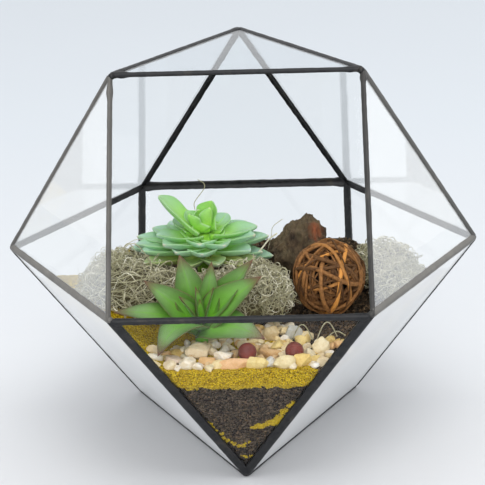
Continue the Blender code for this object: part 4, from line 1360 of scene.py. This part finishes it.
def make_bark(look):
    """A rough chunk of bark behind the ball, with fissures and broken edges."""
    bm = bmesh.new()
    bmesh.ops.create_icosphere(bm, subdivisions=6, radius=1)
    tilt = Matrix.Rotation(BARK_TILT, 3, "Y")
    for vert in bm.verts:
        unit = vert.co.copy()
        rough = 1 + 0.20 * noise.noise(unit * 1.7) + 0.12 * noise.noise(unit * 4.3)
        ridged = 1 - abs(noise.noise(Vector((unit.x * 7, unit.y * 7, unit.z * 2.6))))
        flaky = noise.noise(Vector((unit.x * 16, unit.y * 16, unit.z * 7)))
        rough += 0.09 * (ridged - 0.75) + 0.035 * flaky - 0.03
        point = Vector(a * b for a, b in zip(unit * rough, BARK_SIZE))
        point.x += 0.25 * point.z
        point = BARK_AT + tilt @ point
        point.z = max(point.z, sand_top(point.x, point.y) - 0.0010)
        vert.co = point
    add_piece(mesh_object("bark_chunk", bm, look), "bark", "bark")


MOSS = {  # three lumps of each clump (centre, half size), then strands, seed and how tightly it curls
    "moss_left": (
        ((-0.057, -0.028, 0.0855), (0.024, 0.024, 0.0125)),
        ((-0.062, 0.003, 0.084), (0.0165, 0.019, 0.0090)),
        ((-0.036, -0.034, 0.086), (0.020, 0.012, 0.0100)),
        1250, 21, (0.02, 0.22),
    ),
    "moss_middle": (
        ((-0.008, -0.041, 0.083), (0.030, 0.009, 0.0130)),
        ((0.0155, -0.0405, 0.084), (0.0085, 0.008, 0.0125)),
        ((0.004, -0.028, 0.088), (0.018, 0.010, 0.0095)),
        1200, 22, (0.20, 0.75),
    ),
    "moss_right": (
        ((0.080, -0.014, 0.080), (0.012, 0.022, 0.0090)),
        ((0.074, 0.012, 0.083), (0.015, 0.015, 0.0090)),
        ((0.070, 0.000, 0.082), (0.010, 0.016, 0.008)),
        700, 23, (0.15, 0.6),
    ),
}


def random_way(draw, rise):
    """A random direction. rise below 1 keeps it closer to level."""
    return Vector((draw.gauss(0, 1), draw.gauss(0, 1), draw.gauss(0, rise))).normalized()


def moss_curl(centre, size, draw, curliness):
    """One curly strand that wanders over a lump."""
    start = Vector((draw.gauss(0, 1), draw.gauss(0, 1), abs(draw.gauss(0.3, 0.8)))).normalized()
    point = centre + Vector(a * b for a, b in zip(start, size)) * draw.uniform(0.75, 1.05)
    heading = random_way(draw, 0.5)
    curl_axis = random_way(draw, 1.0)
    tightness = draw.uniform(*curliness)
    thickness = 0.00013 + 0.00026 * draw.random() ** 2
    steps = draw.randrange(12, 26)
    route = []
    for step in range(steps):
        heading = (Matrix.Rotation(tightness, 3, curl_axis) @ heading).normalized()
        away = Vector((a - b) / c for a, b, c in zip(point, centre, size))
        if away.length > 1.1:
            heading = (heading - away.normalized() * 0.55).normalized()
        if step % 5 == 4:
            curl_axis = (curl_axis + random_way(draw, 1.0) * 0.8).normalized()
        point = point + heading * MOSS_STEP
        point.z = max(point.z, sand_top(point.x, point.y) + 0.0004)
        point = kept_inside(point, STRAND_ROOM)
        ends = min(step, steps - 1 - step) / 3
        route.append((point.copy(), thickness * min(1, 0.4 + ends)))
    return route


# the dense inside of a clump, coloured dark as painted shade under the strands
def moss_core(bm, centre, size):
    made = bmesh.ops.create_icosphere(bm, subdivisions=4, radius=1)
    for vert in made["verts"]:
        rough = 0.84 + 0.16 * noise.noise(vert.co * 3 + centre * 50)
        point = centre + Vector(a * b for a, b in zip(vert.co * rough, size))
        point.z = max(point.z, sand_top(point.x, point.y) - 0.0008)
        vert.co = kept_inside(point, CORE_ROOM)


def make_moss(looks):
    """Clumps of curly dry moss over a denser inside, darker as painted shade."""
    for name, (*lumps, strands, seed, curliness) in MOSS.items():
        draw = random.Random(seed)
        lumps = [(Vector(centre), Vector(size)) for centre, size in lumps]
        routes = [moss_curl(*lumps[(0, 1, 0, 2)[i % 4]], draw, curliness) for i in range(strands)]
        routes += [route for clump, route in long_strands() if clump == name]
        curls = strand_tubes(
            name + "_curls", routes, looks["moss"], Sides=3, Knots=900.0, Knot_size=0.00010, Seed=seed
        )
        bm = bmesh.new()
        for centre, size in lumps:
            moss_core(bm, centre, size)
        core = mesh_object(name + "_core", bm, looks["moss_core"])
        add_piece(joined("curly_" + name, [curls, core]), "moss", name)


def hoop(start, end, height, thickness=0.00026, lean=(0, 0, 0)):
    """A thin strand that rises in an arch from one point and comes down at another."""
    start, end, lean = Vector(start), Vector(end), Vector(lean)
    route = []
    for i in range(HOOP_STEPS + 1):
        share = i / HOOP_STEPS
        arch = math.sin(math.pi * share)
        point = start.lerp(end, share) + Vector((0, 0, height * arch)) + lean * arch
        route.append((point, thickness))
    return route


def thread(*points, thickness):
    """A thin strand on a smooth line through a few points."""
    points = [Vector(point) for point in points]
    ends = [points[0] * 2 - points[1], *points, points[-1] * 2 - points[-2]]
    route = []
    for before, start, end, after in zip(ends, ends[1:], ends[2:], ends[3:]):
        for i in range(THREAD_STEPS):
            t = i / THREAD_STEPS
            bend = before * 2 - start * 5 + end * 4 - after
            twist = start * 3 - before - end * 3 + after
            smooth = (start * 2 + (end - before) * t + bend * t * t + twist * t**3) / 2
            route.append((smooth, thickness))
    route.append((points[-1], thickness))
    return route


def long_strands():
    """Stray threads that stand clear of the clumps."""
    return (
        ("moss_middle", hoop((0.024, -0.061, 0.070), (0.034, -0.061, 0.070), 0.0080, 0.00034)),
        ("moss_middle", hoop((0.036, -0.062, 0.070), (0.046, -0.060, 0.071), 0.0085, 0.00034)),
        ("moss_middle", hoop((0.040, -0.061, 0.069), (0.050, -0.059, 0.071), 0.0035, 0.00034)),
        ("moss_middle", thread((-0.024, 0.0, 0.118), (-0.024, 0.0, 0.122), (-0.019, 0.0, 0.129),
                               (-0.019, 0.0, 0.132), (-0.022, 0.0, 0.134), thickness=0.00022)),
        ("moss_middle", thread((0.013, 0.005, 0.093), (0.015, 0.005, 0.101), (0.016, 0.005, 0.106),
                               (0.021, 0.005, 0.110), thickness=0.00018)),
        ("moss_middle", thread((0.004, -0.012, 0.093), (0.010, -0.003, 0.097), (0.014, 0.0, 0.101),
                               (0.018, 0.0, 0.104), thickness=0.00050)),
        ("moss_left", hoop((-0.066, -0.026, 0.092), (-0.046, -0.020, 0.096), 0.014)),
        ("moss_left", hoop((-0.052, -0.018, 0.096), (-0.064, -0.006, 0.093), 0.010)),
        ("moss_left", hoop((-0.050, -0.042, 0.090), (-0.030, -0.036, 0.094), 0.007, 0.00030)),
        ("moss_left", hoop((-0.056, -0.050, 0.086), (-0.040, -0.046, 0.090), 0.008, 0.00030)),
        ("moss_left", hoop((-0.034, -0.044, 0.092), (-0.012, -0.038, 0.094), 0.005, 0.00030)),
        ("moss_middle", hoop((0.000, -0.034, 0.094), (0.022, -0.034, 0.092), 0.005, 0.00030)),
        ("moss_left", thread((-0.068, 0.0, 0.092), (-0.062, 0.0, 0.098), (-0.056, 0.0, 0.102),
                             (-0.050, 0.0, 0.102), thickness=0.00020)),
    )


# ---------------------------------------------------------------- camera, light and ground


TARGET = Vector((0, 0, 0.09938))
CAMERA_DISTANCE = 0.8
AZIMUTH = math.radians(1.139)
ELEVATION = math.radians(19.208)
ROLL = math.radians(-1.661)
TABLE_HALF = 6  # metres from the middle of the table to its edge
LENS = 114.51  # millimetres
SENSOR = 36  # width of the camera's sensor in millimetres


def make_camera():
    back = Vector((
        math.sin(AZIMUTH) * math.cos(ELEVATION),
        -math.cos(AZIMUTH) * math.cos(ELEVATION),
        math.sin(ELEVATION),
    ))
    level_right = (-back).cross(Vector((0, 0, 1))).normalized()
    level_up = level_right.cross(-back)
    right = level_right * math.cos(ROLL) + level_up * math.sin(ROLL)
    up = level_up * math.cos(ROLL) - level_right * math.sin(ROLL)
    data = bpy.data.cameras.new("camera")
    data.lens = LENS
    data.sensor_width = SENSOR
    camera = link(bpy.data.objects.new("camera", data))
    turned = Matrix((right, up, back)).transposed().to_4x4()
    camera.matrix_world = Matrix.Translation(TARGET + back * CAMERA_DISTANCE) @ turned
    bpy.context.scene.camera = camera


def softbox(name, at, aim, width, height, radiance, tint=(1, 1, 1)):
    """A large soft light, seen only in reflections, of a given brightness of its face."""
    data = bpy.data.lights.new(name, "AREA")
    data.shape = "RECTANGLE"
    data.size, data.size_y = width, height
    data.energy = radiance * math.pi * width * height
    data.color = tint
    light = link(bpy.data.objects.new(name, data))
    light.location = at
    light.rotation_euler = (Vector(aim) - Vector(at)).to_track_quat("-Z", "Y").to_euler()
    light.visible_camera = False
    light.visible_transmission = False


def make_studio():
    world = bpy.data.worlds.new("studio")
    bpy.context.scene.world = world
    world.use_nodes = True
    world.node_tree.nodes["Background"].inputs[0].default_value = paint(243, 244, 246)
    world.node_tree.nodes["Background"].inputs[1].default_value = 0.86
    bpy.context.scene.view_settings.view_transform = "Standard"
    softbox("overhead", (0.1, -0.5, 1.5), (0, 0, 0), 1.0, 1.0, 2.5)
    softbox("front_fill", (-0.1, -2.0, 0.8), (0, 0, 0.08), 1.8, 1.0, 3.1)
    softbox("left_wall", (-1.9, 1.1, 0.4), (0, 0, 0.1), 3.2, 2.4, 0.45)
    softbox("right_wall", (1.9, 1.1, 0.4), (0, 0, 0.1), 3.2, 2.4, 0.70)
    bm = bmesh.new()
    bmesh.ops.create_grid(bm, x_segments=2, y_segments=2, size=TABLE_HALF)
    mesh_object("table", bm, table_look())


def table_look():
    """Matt white board, a little cooler towards the back."""
    look = Look("pale_table", Roughness=0.9)
    near = look.group(
        "mottle", Scale=3.0, Contrast=0.5, Dark=paint(223, 225, 228), Light=paint(228, 229, 231)
    )
    far = look.group(
        "mottle", Scale=2.0, Contrast=0.5, Dark=paint(218, 224, 230), Light=paint(221, 227, 232)
    )
    depth = add_node(look.tree, "ShaderNodeSeparateXYZ", {0: look.place}).outputs[1]
    back = remapped(look.tree, depth, -0.1, 0.6)
    look.feed("Base Color", blended(look.tree, back, near["Colour"], far["Colour"]))
    return look.material


# ---------------------------------------------------------------- all of it


PANE_LOOKS = {
    "pane_low_front": "front_glass",
    "pane_low_left": "low_side_glass",
    "pane_low_right": "low_side_glass",
    "pane_side_left": "side_glass",
    "pane_side_right": "side_glass",
    "pane_top": "top_glass",
}


def make_looks():
    return {
        "glass": glass_look("clear_glass", 1.35, (0.985, 0.993, 0.99, 1)),
        "front_glass": glass_look("low_reflection_glass", 1.2, (0.995, 0.997, 0.996, 1)),
        # the pale film on the side, low side and top panes is painted glare
        "side_glass": glass_look("bright_side_glass", 1.7, (0.95, 0.955, 0.95, 1), 0.20, 0.10, 0.46),
        "low_side_glass": glass_look("dusty_low_glass", 1.5, (0.96, 0.97, 0.97, 1), 0.52, 0.50, 0.74),
        "top_glass": glass_look("cool_top_glass", 1.45, (0.89, 0.945, 0.995, 1), 0.03),
        "solder": solder_look(),
        "sand": sand_look(),
        "loose_sand": loose_sand_look(),
        "soil": soil_look(),
        "crumb": crumb_look(),
        "stone": stone_look(),
        "bead": bead_look(),
        "echeveria": leaf_look(
            "echeveria_skin",
            heart=paint(162, 224, 70), blade=paint(150, 204, 142), end=paint(190, 216, 214),
            margin=paint(126, 188, 106), margin_start=0.45, margin_strength=0.55, rim=paint(182, 216, 170),
            blotches=0.15, tip=paint(220, 216, 190), tip_start=0.94, withered_and_shaded=paint(156, 156, 50),
        ),
        "pointed": leaf_look(
            "pointed_succulent_skin",
            heart=paint(110, 182, 34), blade=paint(118, 160, 80), end=paint(140, 178, 118),
            margin=paint(58, 86, 32), margin_start=0.35, margin_strength=0.85, rim=paint(122, 80, 58),
            blotches=0.40, tip=paint(104, 48, 44), tip_start=0.72, withered_and_shaded=paint(140, 100, 60),
        ),
        "vine": strand_look("dry_vine", paint(88, 60, 36), paint(196, 138, 80), paint(232, 160, 78), 700.0),
        # painted shade: the dark heart of the vine ball
        "heart": strand_look(
            "dark_vine_heart", paint(26, 18, 13), paint(44, 31, 22), paint(54, 38, 26), 500.0
        ),
        "bark": bark_look(),
        "moss": strand_look(
            "curly_moss", paint(206, 202, 160), paint(253, 249, 216), paint(254, 250, 230), 1500.0
        ),
        # painted shade: the dark inside of the moss clumps
        "moss_core": strand_look(
            "moss_core", paint(120, 114, 86), paint(146, 138, 106), paint(156, 148, 116), 900.0
        ),
    }


def main():
    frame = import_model()
    cad_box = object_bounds()
    mottle_group()
    grain_group()
    grain_tree()
    strand_tree()
    make_camera()
    make_studio()
    looks = make_looks()
    for name in PANES:
        for slot in frame["nodes"][name].material_slots:
            slot.material = looks[PANE_LOOKS.get(name, "glass")]
    solder_frame(looks["solder"], cad_box)
    make_soil(frame, looks)
    make_sand(frame, looks)
    make_gravel(looks["stone"])
    make_beads(looks["bead"])
    make_echeveria(looks["echeveria"])
    make_pointed_succulent(looks["pointed"])
    make_vine_ball(looks)
    make_bark(looks["bark"])
    make_moss(looks)


main()
